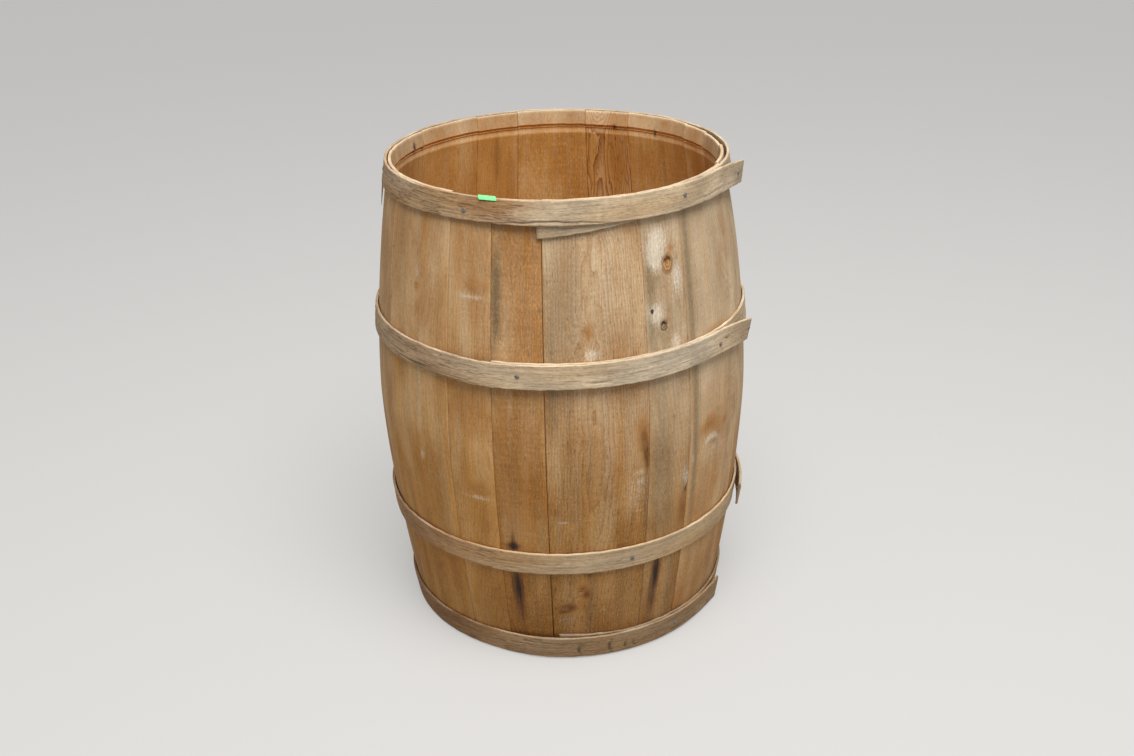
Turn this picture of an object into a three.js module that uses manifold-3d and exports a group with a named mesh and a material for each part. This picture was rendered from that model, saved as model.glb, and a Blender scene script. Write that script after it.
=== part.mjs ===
import * as THREE from 'three';
import { mergeVertices } from 'three/addons/utils/BufferGeometryUtils.js';
import Module from 'manifold-3d';

// A wooden barrel planter: a slack barrel of 16 softwood staves, stood on end and open at the top.
// Four split-wood hoops hold the staves, small nails hold the hoops, and a head of three boards
// sits in the groove at the foot. Lengths are in millimetres and +Z is up. The origin is on the
// barrel's axis at the floor. Angles are in degrees round from the front, which faces -Y, towards
// the right, which is +X.

// The barrel's body.
const BARREL_HEIGHT = 724;
const END_RADIUS = 246.3;
const BULGE_RADIUS = 285.35;
const BULGE_POWER = 1.62;
const STAVE_THICKNESS = 11;
const STAVE_JOINTS = [
  -63.3, -34.6, -20.3, -5, 25.1, 39.7, 67.9, 91.5, 109.2, 123.2, 151.2, 168.6, 195.1, 211.7, 239.1, 266,
];
const JOINT_GAP = 0.4;
const FACE_STEPS = 10;
const OPEN_JOINT = -5;
const OPEN_JOINT_GAP = 1.5;

// A wide stave is a little flatter than the circle, and three staves at the right lean in at the top.
const STAVE_FLATNESS = 0.08;
const SUNK_STAVES = { 67.9: 3, 91.5: 4, 109.2: 3 };
const TIGHT_UP_TO = 60;
const LOOSE_FROM = 190;
const LEANS_FROM = 560;
const LEANS_UP_TO = 700;

// Each stave is bent in flat steps across its width: more of them on a wide stave.
const WIDE_STAVE = 20;
const WIDE_STAVE_STEPS = 5;
const NARROW_STAVE_STEPS = 3;

// The chime at each end of a stave: a flat end, a bevel, the croze groove and the howel below it.
const CHIME_FLAT = 4.5;
const CHIME_DEPTH = 22;
const CROZE_WIDTH = 4.5;
const CROZE_DEPTH = 4.5;
const CROZE_WALL_SLANT = 0.3;
const HOWEL_DEPTH = 1.4;
const HOWEL_LENGTH = 12;

// The hoops: strips that run more than once round, from an inner end to an outer end on top of it.
// turn is +1 where the strip runs from its inner end towards the right, and -1 towards the left.
// The lap is how far the outer end passes the inner one, and the strip climbs over the inner end
// in LAP_RAMP. The outer end springs off over lift_run: lift is how far its upper and lower corners
// stand out, and drop is how far it hangs. The inner end is shifted along the barrel by inner_shift,
// which fades out over inner_run.
const HOOP_THICKNESS = 4.5;
const HOOP_CLEARANCE = 0.5;
const LAP_GAP = 0.5;
const LAP_RAMP = 26;
const LAP_LEAD = 2;
const HOOPS = {
  top_hoop: {
    bottom: 689.4, top: 724, inner_end: -6.4, turn: 1, lap: 88,
    lift_top: 17, lift_bottom: 8, drop: 12, lift_run: 24, inner_shift: -18, inner_run: 34,
  },
  bulge_hoop: {
    bottom: 468.3, top: 505, inner_end: -20, turn: 1, lap: 90,
    lift_top: 13, lift_bottom: 4, drop: 13, lift_run: 22, inner_shift: 0, inner_run: 30,
  },
  lower_hoop: {
    bottom: 164.5, top: 202.5, inner_end: 171, turn: -1, lap: 99,
    lift_top: 7, lift_bottom: 7, drop: 0, lift_run: 30, inner_shift: 0, inner_run: 30,
  },
  bottom_hoop: {
    bottom: 1.5, top: 41.5, inner_end: -3.1, turn: 1, lap: 70,
    lift_top: 4, lift_bottom: 5, drop: 0, lift_run: 16, inner_shift: 4.5, inner_run: 30,
  },
};
const HOOP_STEP = 4.2;

// The nails: where each sits on its hoop, as an angle and a height, and how deep it bites.
const NAIL_SHANK_RADIUS = 1.3;
const NAIL_HEAD_RADIUS = 3.3;
const NAIL_HEAD_THICKNESS = 0.9;
const NAIL_HEAD_RIM = 0.55;
const NAIL_HEAD_CROWN_RADIUS = 2.6;
const NAIL_POINT = 3;
const NAIL_CLEARANCE = 0.3;
const NAIL_SIDES = 8;
const NAILS = {
  top_hoop: {
    bite: 4.5,
    at: [[-89, 701], [-28.9, 703.6], [40.9, 708.6], [76.1, 699.3], [139, 703], [200, 705], [243, 703]],
  },
  bulge_hoop: {
    bite: 8,
    at: [[-88, 487], [-12.1, 487.6], [51.4, 483.4], [69, 476.6], [128, 488], [190, 485], [232, 486]],
  },
  lower_hoop: { bite: 8, at: [[20.3, 181.4], [76, 184], [113, 183], [160, 186], [218, 182], [261, 184]] },
  bottom_hoop: { bite: 5, at: [[40.3, 19.3], [100, 16], [158, 18], [205, 16], [256, 17]] },
};

// The bottom head: three boards across the barrel, thinned at the rim to a tongue in the croze.
const HEAD_THICKNESS = 12.7;
const HEAD_TONGUE_GAP = 0.3;
const HEAD_TONGUE = CROZE_WIDTH - 2 * HEAD_TONGUE_GAP;
const HEAD_TONGUE_LENGTH = 5.3;
const HEAD_BEVEL = 16;
const HEAD_RIM_GAP = 1;
const HEAD_JOINTS = [-82, 74];
const HEAD_JOINT_GAP = 0.4;
const HEAD_SIDES = 48;

// The blank paper tag stuck over the rim.
const TAG_ANGLES = [-24.9, -17.9];
const TAG_THICKNESS = 0.4;
const TAG_GAP = 0.35;
const TAG_FLAP_GAP = 1.4;
const TAG_FLAP = 7;
const TAG_OVERHANG = 3;

const STAVE_MATERIAL = new THREE.MeshStandardMaterial({ color: 0xb68a57, roughness: 0.75, metalness: 0 });
const HOOP_MATERIAL = new THREE.MeshStandardMaterial({ color: 0xa8957a, roughness: 0.85, metalness: 0 });
const HEAD_MATERIAL = new THREE.MeshStandardMaterial({ color: 0x9c7346, roughness: 0.8, metalness: 0 });
const NAIL_MATERIAL = new THREE.MeshStandardMaterial({ color: 0x6b6762, roughness: 0.55, metalness: 0.9 });
const TAG_MATERIAL = new THREE.MeshStandardMaterial({ color: 0x7fe98a, roughness: 0.6, metalness: 0 });

const WELD_DISTANCE = 1e-4;

const wasm = await Module();
wasm.setup();

// Radius of the staves' outer face at a height: largest half way up, and closing to both ends.
function barrelRadius(height) {
  const fromMiddle = Math.abs(height / (BARREL_HEIGHT / 2) - 1);
  return BULGE_RADIUS - (BULGE_RADIUS - END_RADIUS) * fromMiddle ** BULGE_POWER;
}

// A point at an angle, radius and height round the barrel's axis.
function barrelPoint(angle, radius, height) {
  const a = THREE.MathUtils.degToRad(angle);
  return new THREE.Vector3(radius * Math.sin(a), -radius * Math.cos(a), height);
}

// Moves every vertex of a geometry to where a function puts it, and welds the vertices.
function bend(geometry, placeVertex) {
  geometry.deleteAttribute('normal');
  geometry.deleteAttribute('uv');
  const welded = mergeVertices(geometry, WELD_DISTANCE);
  const position = welded.getAttribute('position');
  const vertex = new THREE.Vector3();
  for (let i = 0; i < position.count; i += 1) {
    vertex.fromBufferAttribute(position, i);
    const moved = placeVertex(vertex);
    position.setXYZ(i, moved.x, moved.y, moved.z);
  }
  return welded;
}

function toManifold(geometry) {
  const bare = new THREE.BufferGeometry();
  bare.setAttribute('position', geometry.getAttribute('position').clone());
  if (geometry.index) bare.setIndex(geometry.index.clone());
  const welded = mergeVertices(bare, WELD_DISTANCE);
  return new wasm.Manifold(new wasm.Mesh({
    numProp: 3,
    vertProperties: new Float32Array(welded.getAttribute('position').array),
    triVerts: new Uint32Array(welded.index.array),
  }));
}

function fromManifold(solid) {
  const { vertProperties, triVerts } = solid.getMesh();
  const geometry = new THREE.BufferGeometry();
  geometry.setAttribute('position', new THREE.BufferAttribute(new Float32Array(vertProperties), 3));
  geometry.setIndex(new THREE.BufferAttribute(new Uint32Array(triVerts), 1));
  geometry.computeVertexNormals();
  return geometry;
}

function cutAway(geometry, cutters) {
  if (cutters.length === 0) return geometry;
  let solid = toManifold(geometry);
  for (const cutter of cutters) solid = solid.subtract(toManifold(cutter));
  return fromManifold(solid);
}

function namedMesh(name, geometry, material) {
  geometry.computeVertexNormals();
  const mesh = new THREE.Mesh(geometry, material);
  mesh.name = name;
  return mesh;
}

// How loose the staves are at a height: 0 where the bottom head holds them tight, 1 higher up.
function looseness(height) {
  return THREE.MathUtils.smoothstep(height, TIGHT_UP_TO, LOOSE_FROM);
}

// How far a leaning stave has come inwards at a height, from 0 to 1.
function leaning(height) {
  return THREE.MathUtils.smoothstep(height, LEANS_FROM, LEANS_UP_TO);
}

// Half of a stave's inner outline, from the end inwards: heights from the nearer end, and how far
// the face lies inside the outer face.
function chimeOutline() {
  const grooveEnd = CHIME_DEPTH + CROZE_WIDTH;
  return [
    [0, CHIME_FLAT],
    [CHIME_DEPTH, STAVE_THICKNESS],
    [CHIME_DEPTH + CROZE_WALL_SLANT, STAVE_THICKNESS - CROZE_DEPTH],
    [grooveEnd, STAVE_THICKNESS - CROZE_DEPTH],
    [grooveEnd + CROZE_WALL_SLANT, STAVE_THICKNESS - HOWEL_DEPTH],
    [grooveEnd + HOWEL_LENGTH, STAVE_THICKNESS],
  ];
}

// A stave's outline in the radial plane, as radius and height: up the outer face, down the inner.
// The heights lie closer together towards the ends, where the face curves more.
function staveOutline() {
  const outerHeights = Array.from({ length: FACE_STEPS + 1 }, (_, i) => {
    const even = i / FACE_STEPS;
    const crowded = (1 - Math.cos(Math.PI * even)) / 2;
    return (BARREL_HEIGHT * (even + crowded)) / 2;
  });
  const innerHeights = outerHeights.slice(2, -2).reverse();
  const chime = chimeOutline();
  const point = (height, inset) => new THREE.Vector2(barrelRadius(height) - inset, height);
  const outer = outerHeights.map((height) => point(height, 0));
  const topChime = chime.map(([fromEnd, inset]) => point(BARREL_HEIGHT - fromEnd, inset));
  const inner = innerHeights.map((height) => point(height, STAVE_THICKNESS));
  const bottomChime = chime.map(([fromEnd, inset]) => point(fromEnd, inset)).reverse();
  return [...outer, ...topChime, ...inner, ...bottomChime];
}

// One stave between two joints: its outline is extruded, and the extrusion is bent round the axis.
function makeStave(index, cutters) {
  const joint = STAVE_JOINTS[index];
  const nextJoint = index + 1 < STAVE_JOINTS.length ? STAVE_JOINTS[index + 1] : STAVE_JOINTS[0] + 360;
  const halfGap = (at) => {
    const gap = at === OPEN_JOINT ? OPEN_JOINT_GAP : JOINT_GAP;
    return THREE.MathUtils.radToDeg(gap / 2 / BULGE_RADIUS);
  };
  const start = joint + halfGap(joint);
  const end = nextJoint - halfGap(nextJoint);
  const middle = (start + end) / 2;
  const halfWidth = THREE.MathUtils.degToRad((end - start) / 2);
  const sunk = SUNK_STAVES[joint] ?? 0;
  const steps = end - start > WIDE_STAVE ? WIDE_STAVE_STEPS : NARROW_STAVE_STEPS;
  const outline = new THREE.Shape(staveOutline());
  const body = new THREE.ExtrudeGeometry(outline, { depth: 1, steps, bevelEnabled: false });
  const bent = bend(body, ({ x: radius, y: height, z: across }) => {
    const angle = end - across * (end - start);
    const offMiddle = THREE.MathUtils.degToRad(angle - middle);
    const flat = STAVE_FLATNESS * radius * (1 - Math.cos(halfWidth) / Math.cos(offMiddle));
    return barrelPoint(angle, radius - looseness(height) * flat - leaning(height) * sunk, height);
  });
  const inStave = ({ angle }) => (((angle - start) % 360) + 360) % 360 < end - start;
  const holes = cutters.filter(inStave).map((cutter) => cutter.geometry);
  return namedMesh(`stave_${String(index + 1).padStart(2, '0')}`, cutAway(bent, holes), STAVE_MATERIAL);
}

// A point of a hoop: along is 0 at the inner end and 1 at the outer, up is 0 at the lower edge and
// 1 at the upper, and out is 0 on the inner face and 1 on the outer.
function hoopPoint(hoop, along, up, out) {
  const whole = 360 + hoop.lap;
  const travelled = along * whole;
  const angle = hoop.inner_end + hoop.turn * travelled;
  const onLap = THREE.MathUtils.smoothstep(travelled, 360 - LAP_RAMP, 360 - LAP_LEAD);
  const sprung = Math.max(0, 1 - (whole - travelled) / hoop.lift_run) ** 2;
  const tucked = Math.max(0, 1 - travelled / hoop.inner_run);
  const lift = THREE.MathUtils.lerp(hoop.lift_bottom, hoop.lift_top, up) * sprung;
  const offset = HOOP_CLEARANCE + onLap * (HOOP_THICKNESS + LAP_GAP) + lift + out * HOOP_THICKNESS;
  const level = THREE.MathUtils.lerp(hoop.bottom, hoop.top, up);
  const height = level + hoop.inner_shift * tucked - hoop.drop * sprung;
  return barrelPoint(angle, barrelRadius(level + hoop.inner_shift * tucked) + offset, height);
}

function makeHoop(name, hoop) {
  const steps = Math.round((360 + hoop.lap) / HOOP_STEP);
  const strip = new THREE.BoxGeometry(1, 1, 1, steps, 1, 1);
  const bent = bend(strip, ({ x, y, z }) => {
    const along = hoop.turn > 0 ? x + 0.5 : 0.5 - x;
    return hoopPoint(hoop, along, y + 0.5, z + 0.5);
  });
  return namedMesh(name, bent, HOOP_MATERIAL);
}

// Where a nail stands on its hoop: the spot on the outer face, the way its head looks, and how far
// the spot stands out from a strip that lies on the staves.
function nailSeat(hoopMesh, angle, height) {
  const outside = barrelPoint(angle, 2 * BULGE_RADIUS, height);
  const inward = barrelPoint(angle, -1, 0);
  const [hit] = new THREE.Raycaster(outside, inward).intersectObject(hoopMesh);
  const strip = barrelRadius(height) + HOOP_CLEARANCE + HOOP_THICKNESS;
  const lift = Math.max(0, Math.hypot(hit.point.x, hit.point.y) - strip);
  return { spot: hit.point, outward: hit.face.normal, lift };
}

function nailOutline(length) {
  return [
    new THREE.Vector2(0, -length),
    new THREE.Vector2(NAIL_SHANK_RADIUS, -length + NAIL_POINT),
    new THREE.Vector2(NAIL_SHANK_RADIUS, NAIL_CLEARANCE),
    new THREE.Vector2(NAIL_HEAD_RADIUS, NAIL_CLEARANCE),
    new THREE.Vector2(NAIL_HEAD_RADIUS, NAIL_CLEARANCE + NAIL_HEAD_RIM),
    new THREE.Vector2(NAIL_HEAD_CROWN_RADIUS, NAIL_CLEARANCE + NAIL_HEAD_THICKNESS),
    new THREE.Vector2(0, NAIL_CLEARANCE + NAIL_HEAD_THICKNESS),
  ];
}

function holeOutline(length) {
  const radius = NAIL_SHANK_RADIUS + NAIL_CLEARANCE;
  return [
    new THREE.Vector2(0, -length - NAIL_CLEARANCE),
    new THREE.Vector2(radius, -length - NAIL_CLEARANCE + NAIL_POINT / 2),
    new THREE.Vector2(radius, HOOP_THICKNESS),
    new THREE.Vector2(0, HOOP_THICKNESS),
  ];
}

// A nail, and the hole that it needs in the hoop and the stave behind it.
function makeNail(name, hoopMesh, angle, height, bite) {
  const { spot, outward, lift } = nailSeat(hoopMesh, angle, height);
  const length = HOOP_THICKNESS + HOOP_CLEARANCE + lift + bite;
  const turned = new THREE.Quaternion().setFromUnitVectors(new THREE.Vector3(0, 1, 0), outward);
  const nail = namedMesh(name, new THREE.LatheGeometry(nailOutline(length), NAIL_SIDES), NAIL_MATERIAL);
  nail.quaternion.copy(turned);
  nail.position.copy(spot);
  const hole = new THREE.LatheGeometry(holeOutline(length), NAIL_SIDES);
  hole.applyQuaternion(turned).translate(spot.x, spot.y, spot.z);
  return { nail, cutter: { angle, geometry: hole } };
}

// The whole head as one disc, turned from its outline, before it is sawn into boards.
function headDisc() {
  const middle = CHIME_DEPTH + CROZE_WIDTH / 2;
  const rim = barrelRadius(middle) - STAVE_THICKNESS + CROZE_DEPTH - HEAD_RIM_GAP;
  const tongueStart = rim - HEAD_TONGUE_LENGTH;
  const outline = [
    new THREE.Vector2(0, middle - HEAD_THICKNESS / 2),
    new THREE.Vector2(tongueStart - HEAD_BEVEL, middle - HEAD_THICKNESS / 2),
    new THREE.Vector2(tongueStart, middle - HEAD_TONGUE / 2),
    new THREE.Vector2(rim, middle - HEAD_TONGUE / 2),
    new THREE.Vector2(rim, middle + HEAD_TONGUE / 2),
    new THREE.Vector2(tongueStart, middle + HEAD_TONGUE / 2),
    new THREE.Vector2(tongueStart - HEAD_BEVEL, middle + HEAD_THICKNESS / 2),
    new THREE.Vector2(0, middle + HEAD_THICKNESS / 2),
  ];
  return new THREE.LatheGeometry(outline, HEAD_SIDES).rotateX(Math.PI / 2);
}

// The head's boards: the disc, kept between each two neighbouring joints.
function makeHeadBoards() {
  const disc = toManifold(headDisc());
  const edges = [-BULGE_RADIUS, ...HEAD_JOINTS, BULGE_RADIUS];
  return edges.slice(1).map((edge, i) => {
    const width = edge - edges[i] - HEAD_JOINT_GAP;
    const block = new THREE.BoxGeometry(2 * BULGE_RADIUS, width, 4 * HEAD_THICKNESS);
    block.translate(0, (edge + edges[i]) / 2, CHIME_DEPTH);
    const board = fromManifold(disc.intersect(toManifold(block)));
    return namedMesh(`bottom_head_board_${i + 1}`, board, HEAD_MATERIAL);
  });
}

// The tag: flat across the rim, from the hoop's outer edge to a flap down the inner bevel.
function makeTag() {
  const [start, end] = TAG_ANGLES;
  const bevelSlope = (STAVE_THICKNESS - CHIME_FLAT) / CHIME_DEPTH;
  const under = BARREL_HEIGHT + TAG_GAP;
  const over = under + TAG_THICKNESS;
  const rimOuter = END_RADIUS + HOOP_CLEARANCE + HOOP_THICKNESS + TAG_OVERHANG;
  const bevelAt = (down) => END_RADIUS - CHIME_FLAT - TAG_FLAP_GAP - bevelSlope * down;
  const outline = new THREE.Shape([
    new THREE.Vector2(bevelAt(TAG_FLAP) - TAG_THICKNESS, BARREL_HEIGHT - TAG_FLAP),
    new THREE.Vector2(bevelAt(TAG_FLAP), BARREL_HEIGHT - TAG_FLAP),
    new THREE.Vector2(bevelAt(0), under),
    new THREE.Vector2(rimOuter, under),
    new THREE.Vector2(rimOuter, over),
    new THREE.Vector2(bevelAt(0) - TAG_THICKNESS, over),
  ]);
  const sheet = new THREE.ExtrudeGeometry(outline, { depth: 1, steps: 2, bevelEnabled: false });
  const bent = bend(sheet, ({ x, y, z }) => barrelPoint(end - z * (end - start), x, y));
  return namedMesh('blank_tag', bent, TAG_MATERIAL);
}

const barrel = new THREE.Group();
const cutters = [];
for (const [hoopName, hoop] of Object.entries(HOOPS)) {
  const { bite, at } = NAILS[hoopName];
  const strip = makeHoop(hoopName, hoop);
  const holes = at.map(([angle, height], i) => {
    const { nail, cutter } = makeNail(`${hoopName}_nail_${i + 1}`, strip, angle, height, bite);
    barrel.add(nail);
    return cutter;
  });
  strip.geometry = cutAway(strip.geometry, holes.map((cutter) => cutter.geometry));
  barrel.add(strip);
  cutters.push(...holes);
}
STAVE_JOINTS.forEach((joint, index) => barrel.add(makeStave(index, cutters)));
barrel.add(...makeHeadBoards());
barrel.add(makeTag());

export default barrel;
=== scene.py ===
# %% [markdown]
# # A wooden barrel planter
# The object is a slack barrel: sixteen thin softwood staves, bent and held by four hoops of split
# wood. The staves came rough from the saw and have weathered for years, so the look lies in fine
# upright grain, in stains and knots, and in edges that are no longer quite straight.
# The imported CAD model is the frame: every new piece below takes its place and its sizes from it.

import bpy
import numpy as np
from mathutils import Matrix, Vector


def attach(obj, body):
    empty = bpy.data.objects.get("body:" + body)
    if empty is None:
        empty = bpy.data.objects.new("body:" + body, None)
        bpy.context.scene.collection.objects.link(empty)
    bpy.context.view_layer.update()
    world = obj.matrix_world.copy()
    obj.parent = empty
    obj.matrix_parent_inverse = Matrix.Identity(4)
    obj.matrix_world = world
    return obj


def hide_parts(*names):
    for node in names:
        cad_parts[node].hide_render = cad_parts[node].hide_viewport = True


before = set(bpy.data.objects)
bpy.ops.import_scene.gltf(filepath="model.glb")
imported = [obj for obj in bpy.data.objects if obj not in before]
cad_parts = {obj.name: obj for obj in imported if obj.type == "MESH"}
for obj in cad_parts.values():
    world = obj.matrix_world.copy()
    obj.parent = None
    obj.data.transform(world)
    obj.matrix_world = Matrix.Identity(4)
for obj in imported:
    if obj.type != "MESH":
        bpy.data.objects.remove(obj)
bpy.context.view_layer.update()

# %% [markdown]
# ## The camera
# The photograph was taken from a little above eye height of a seated person, looking down at the
# barrel. The camera's place, its tilt and its slight roll were fitted to both rims and to the
# hoops' edges. The lens is the one whose field of view goes with that fit.

# %% Place the camera
FRAME_WIDTH_PX = 1134
FOCAL_LENGTH_PX = 1271
SENSOR_WIDTH_MM = 36
CAMERA_PLACE_M = (0.0025, -1.827, 1.210)
CAMERA_PITCH, CAMERA_YAW, CAMERA_ROLL = np.radians([-25.16, -0.16, -1.32])

camera = bpy.data.objects.new("camera", bpy.data.cameras.new("camera"))
bpy.context.scene.collection.objects.link(camera)
bpy.context.scene.camera = camera
camera.data.sensor_width = SENSOR_WIDTH_MM
camera.data.lens = FOCAL_LENGTH_PX * SENSOR_WIDTH_MM / FRAME_WIDTH_PX
turn = Matrix.Rotation(CAMERA_YAW, 4, "Z") @ Matrix.Rotation(np.pi / 2 + CAMERA_PITCH, 4, "X")
camera.matrix_world = Matrix.Translation(CAMERA_PLACE_M) @ turn @ Matrix.Rotation(CAMERA_ROLL, 4, "Z")
print("lens of %.1f mm" % camera.data.lens)

# %% [markdown]
# ## Colours and nodes
# Colours are written as sRGB hex values, as a paint chart gives them, and turned to linear light
# once. Materials are node trees, so one function adds a node with its settings and its links. The
# others below mix numbers and colours. All of them work in the tree of the material at hand.

# %% Turn a hex colour to linear, and add a node
MM = 0.001


def linear(hex_colour):
    """sRGB to linear light: below 0.04045 divided by 12.92, above ((c + 0.055) / 1.055) ** 2.4."""
    srgb = np.array([int(hex_colour[i : i + 2], 16) / 255 for i in (1, 3, 5)])
    light = np.where(srgb <= 0.04045, srgb / 12.92, ((srgb + 0.055) / 1.055) ** 2.4)
    return (*light, 1.0)


def add(kind, inputs=None, **settings):
    """Adds a node. Settings are its properties. Inputs are sockets, hex colours or numbers."""
    node = tree.nodes.new(kind)
    for name, value in settings.items():
        setattr(node, name, value)
    for name, value in (inputs or {}).items():
        if isinstance(value, bpy.types.NodeSocket):
            tree.links.new(value, node.inputs[name])
        else:
            node.inputs[name].default_value = linear(value) if isinstance(value, str) else value
    return node


def new_material(name):
    """A material with an empty Principled shader, and its node tree and shader."""
    material = bpy.data.materials.new(name)
    material.use_nodes = True
    return material, material.node_tree, material.node_tree.nodes["Principled BSDF"]


def math(operation, a, b=0.0, c=0.0, clamp=False):
    """One operation on up to three numbers."""
    inputs = {0: a, 1: b, 2: c}
    return add("ShaderNodeMath", inputs, operation=operation, use_clamp=clamp).outputs[0]


def share(value, amount=1.0):
    """Value times amount, kept between 0 and 1."""
    return math("MULTIPLY", value, amount, clamp=True)


def swayed(base, *noises):
    """The base plus amount * (noise - 0.5), for each noise and its amount."""
    for noise, amount in noises:
        base = math("MULTIPLY_ADD", math("SUBTRACT", noise, 0.5), amount, base)
    return base


def between(value, low, high, to_low=0.0, to_high=1.0, kind="SMOOTHSTEP"):
    """Takes low to to_low and high to to_high, smoothly, and stays there beyond them."""
    ends = {"From Min": low, "From Max": high, "To Min": to_low, "To Max": to_high}
    node = add("ShaderNodeMapRange", {"Value": value, **ends}, interpolation_type=kind)
    return node.outputs["Result"]


def mixed(amount, first, second, blend="MIX"):
    """From the first colour to the second, by an amount of 0 to 1."""
    inputs = {0: amount, 6: first, 7: second}
    return add("ShaderNodeMix", inputs, data_type="RGBA", blend_type=blend).outputs[2]


def shaded(colour, shade):
    """A colour times a plain number."""
    grey = add("ShaderNodeCombineColor", {0: shade, 1: shade, 2: shade}).outputs[0]
    return mixed(1.0, colour, grey, "MULTIPLY")


def attribute(name, output="Fac"):
    """What the mesh stores under a name."""
    return add("ShaderNodeAttribute", attribute_name=name).outputs[output]


def object_place():
    """The place in the object's own coordinates."""
    return add("ShaderNodeTexCoord").outputs["Object"]


def noise_fields(place, *sizes):
    """Noises, each from its mm across the grain and along it, its detail and its roughness."""
    fields = []
    for across_mm, along_mm, detail, roughness in sizes:
        per_metre = tuple(1 / (size * MM) for size in (across_mm, along_mm, across_mm))
        scaled = add("ShaderNodeVectorMath", {0: place, 1: per_metre}, operation="MULTIPLY")
        inputs = {
            "Vector": scaled.outputs[0], "Scale": 1.0, "Detail": detail, "Roughness": roughness
        }
        fields.append(add("ShaderNodeTexNoise", inputs).outputs["Fac"])
    return fields


def finish_surface(colour, roughness, height, bump_strength, bump_mm):
    """Gives the shader at hand its colour, its roughness and a bump from a height of 0 to 1."""
    bump = add(
        "ShaderNodeBump", {"Height": height, "Strength": bump_strength, "Distance": bump_mm * MM}
    )
    tree.links.new(colour, shader.inputs["Base Color"])
    tree.links.new(bump.outputs["Normal"], shader.inputs["Normal"])
    if isinstance(roughness, bpy.types.NodeSocket):
        tree.links.new(roughness, shader.inputs["Roughness"])
    else:
        shader.inputs["Roughness"].default_value = roughness


def matt_wood():
    """Bare wood has no varnish, so it shines less than a plastic does."""
    shader.inputs["IOR"].default_value = 1.45
    shader.inputs["Specular IOR Level"].default_value = 0.3


def seen():
    """1 where the camera sees it, straight, mirrored or through glass, and 0 for other light."""
    ray = add("ShaderNodeLightPath").outputs
    direct = math("MAXIMUM", ray["Is Camera Ray"], ray["Is Glossy Ray"])
    return math("MAXIMUM", direct, ray["Is Transmission Ray"])


print("honey in linear light:", [round(c, 3) for c in linear("#BC8340")])

# %% [markdown]
# ## Floor and light
# A studio floor in pale grey, without a wall, so that the object can be seen from every side. To the
# camera it is paler than it is to the light that bounces from it, which keeps the barrel's foot in
# shade. The world lights the barrel evenly, and one large soft lamp hangs high above its front. Such
# a high light falls on the shoulders, which lean back, and grazes the foot, which leans forward.

# %% Set the stage
FLOOR_SIZE_M = 40
FLOOR_TO_LIGHT, FLOOR_TO_CAMERA, FLOOR_GLOW, GLOW_SHARE = "#A3A19D", "#DEDCD8", "#D2D0CD", 0.6
SKY_TO_LIGHT, SKY_STRENGTH, SKY_TO_CAMERA = "#F1F4FA", 0.46, "#C2C1BF"
LAMP_PLACE_M, LAMP_AIM_M, LAMP_SIZE_M, LAMP_WATTS = (0.32, -1.15, 3.2), (0, 0, 0.4), 2.2, 120
scene = bpy.context.scene
scene.view_settings.view_transform = "Standard"

floor_paint, tree, shader = new_material("matt_floor_paint")
to_camera = seen()
tree.links.new(mixed(to_camera, FLOOR_TO_LIGHT, FLOOR_TO_CAMERA), shader.inputs["Base Color"])
shader.inputs["Roughness"].default_value = 0.9
glow = add("ShaderNodeEmission", {"Color": FLOOR_GLOW, "Strength": 1.0})
glow_share = math("MULTIPLY", to_camera, GLOW_SHARE)
both = add("ShaderNodeMixShader", {0: glow_share, 1: shader.outputs[0], 2: glow.outputs[0]})
tree.links.new(both.outputs[0], tree.nodes["Material Output"].inputs["Surface"])
corner_signs = ((-1, -1), (1, -1), (1, 1), (-1, 1))
corners = [(x * FLOOR_SIZE_M / 2, y * FLOOR_SIZE_M / 2, 0) for x, y in corner_signs]
floor_mesh = bpy.data.meshes.new("floor")
floor_mesh.from_pydata(corners, [], [(0, 1, 2, 3)])
floor_mesh.materials.append(floor_paint)
floor = bpy.data.objects.new("floor", floor_mesh)
scene.collection.objects.link(floor)

world = bpy.data.worlds.new("studio")
world.use_nodes = True
scene.world = world
tree = world.node_tree
tree.nodes.clear()
lit = add("ShaderNodeBackground", {"Color": SKY_TO_LIGHT, "Strength": SKY_STRENGTH})
shown = add("ShaderNodeBackground", {"Color": SKY_TO_CAMERA, "Strength": 1.0})
both = add("ShaderNodeMixShader", {0: seen(), 1: lit.outputs[0], 2: shown.outputs[0]})
add("ShaderNodeOutputWorld", {"Surface": both.outputs[0]})

softbox = bpy.data.lights.new("overhead_softbox", "AREA")
softbox.shape = "DISK"
softbox.size = LAMP_SIZE_M
softbox.energy = LAMP_WATTS
lamp = bpy.data.objects.new("overhead_softbox", softbox)
lamp.location = LAMP_PLACE_M
lamp.rotation_euler = (Vector(LAMP_AIM_M) - lamp.location).to_track_quat("-Z", "Y").to_euler()
scene.collection.objects.link(lamp)
print("floor, world and a lamp of", LAMP_WATTS, "W")

# %% [markdown]
# ## The barrel's shape
# A barrel is widest half way up and closes towards both ends. The same few numbers as in the CAD
# model give the staves' outer face. Three staves at the right lean in a little at the top.

# %% Work out the barrel's surface
HEIGHT = 724.0
END_RADIUS = 246.3
BULGE_RADIUS = 285.35
BULGE_POWER = 1.62
STAVE_THICKNESS = 11.0
STAVE_FLATNESS = 0.08
TIGHT_UP_TO, LOOSE_FROM = 60.0, 190.0
LEANS_FROM, LEANS_UP_TO = 560.0, 700.0
STAVE_JOINTS = np.array(
    [-63.3, -34.6, -20.3, -5, 25.1, 39.7, 67.9, 91.5, 109.2, 123.2, 151.2, 168.6, 195.1, 211.7,
     239.1, 266, 296.7]
)
# How many mm a stave leans in, by the angle of its first joint.
SUNK_STAVES = {67.9: 3.0, 91.5: 4.0, 109.2: 3.0}
JOINT_GAP = 0.4
OPEN_JOINT, OPEN_JOINT_GAP = -5.0, 1.5


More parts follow.
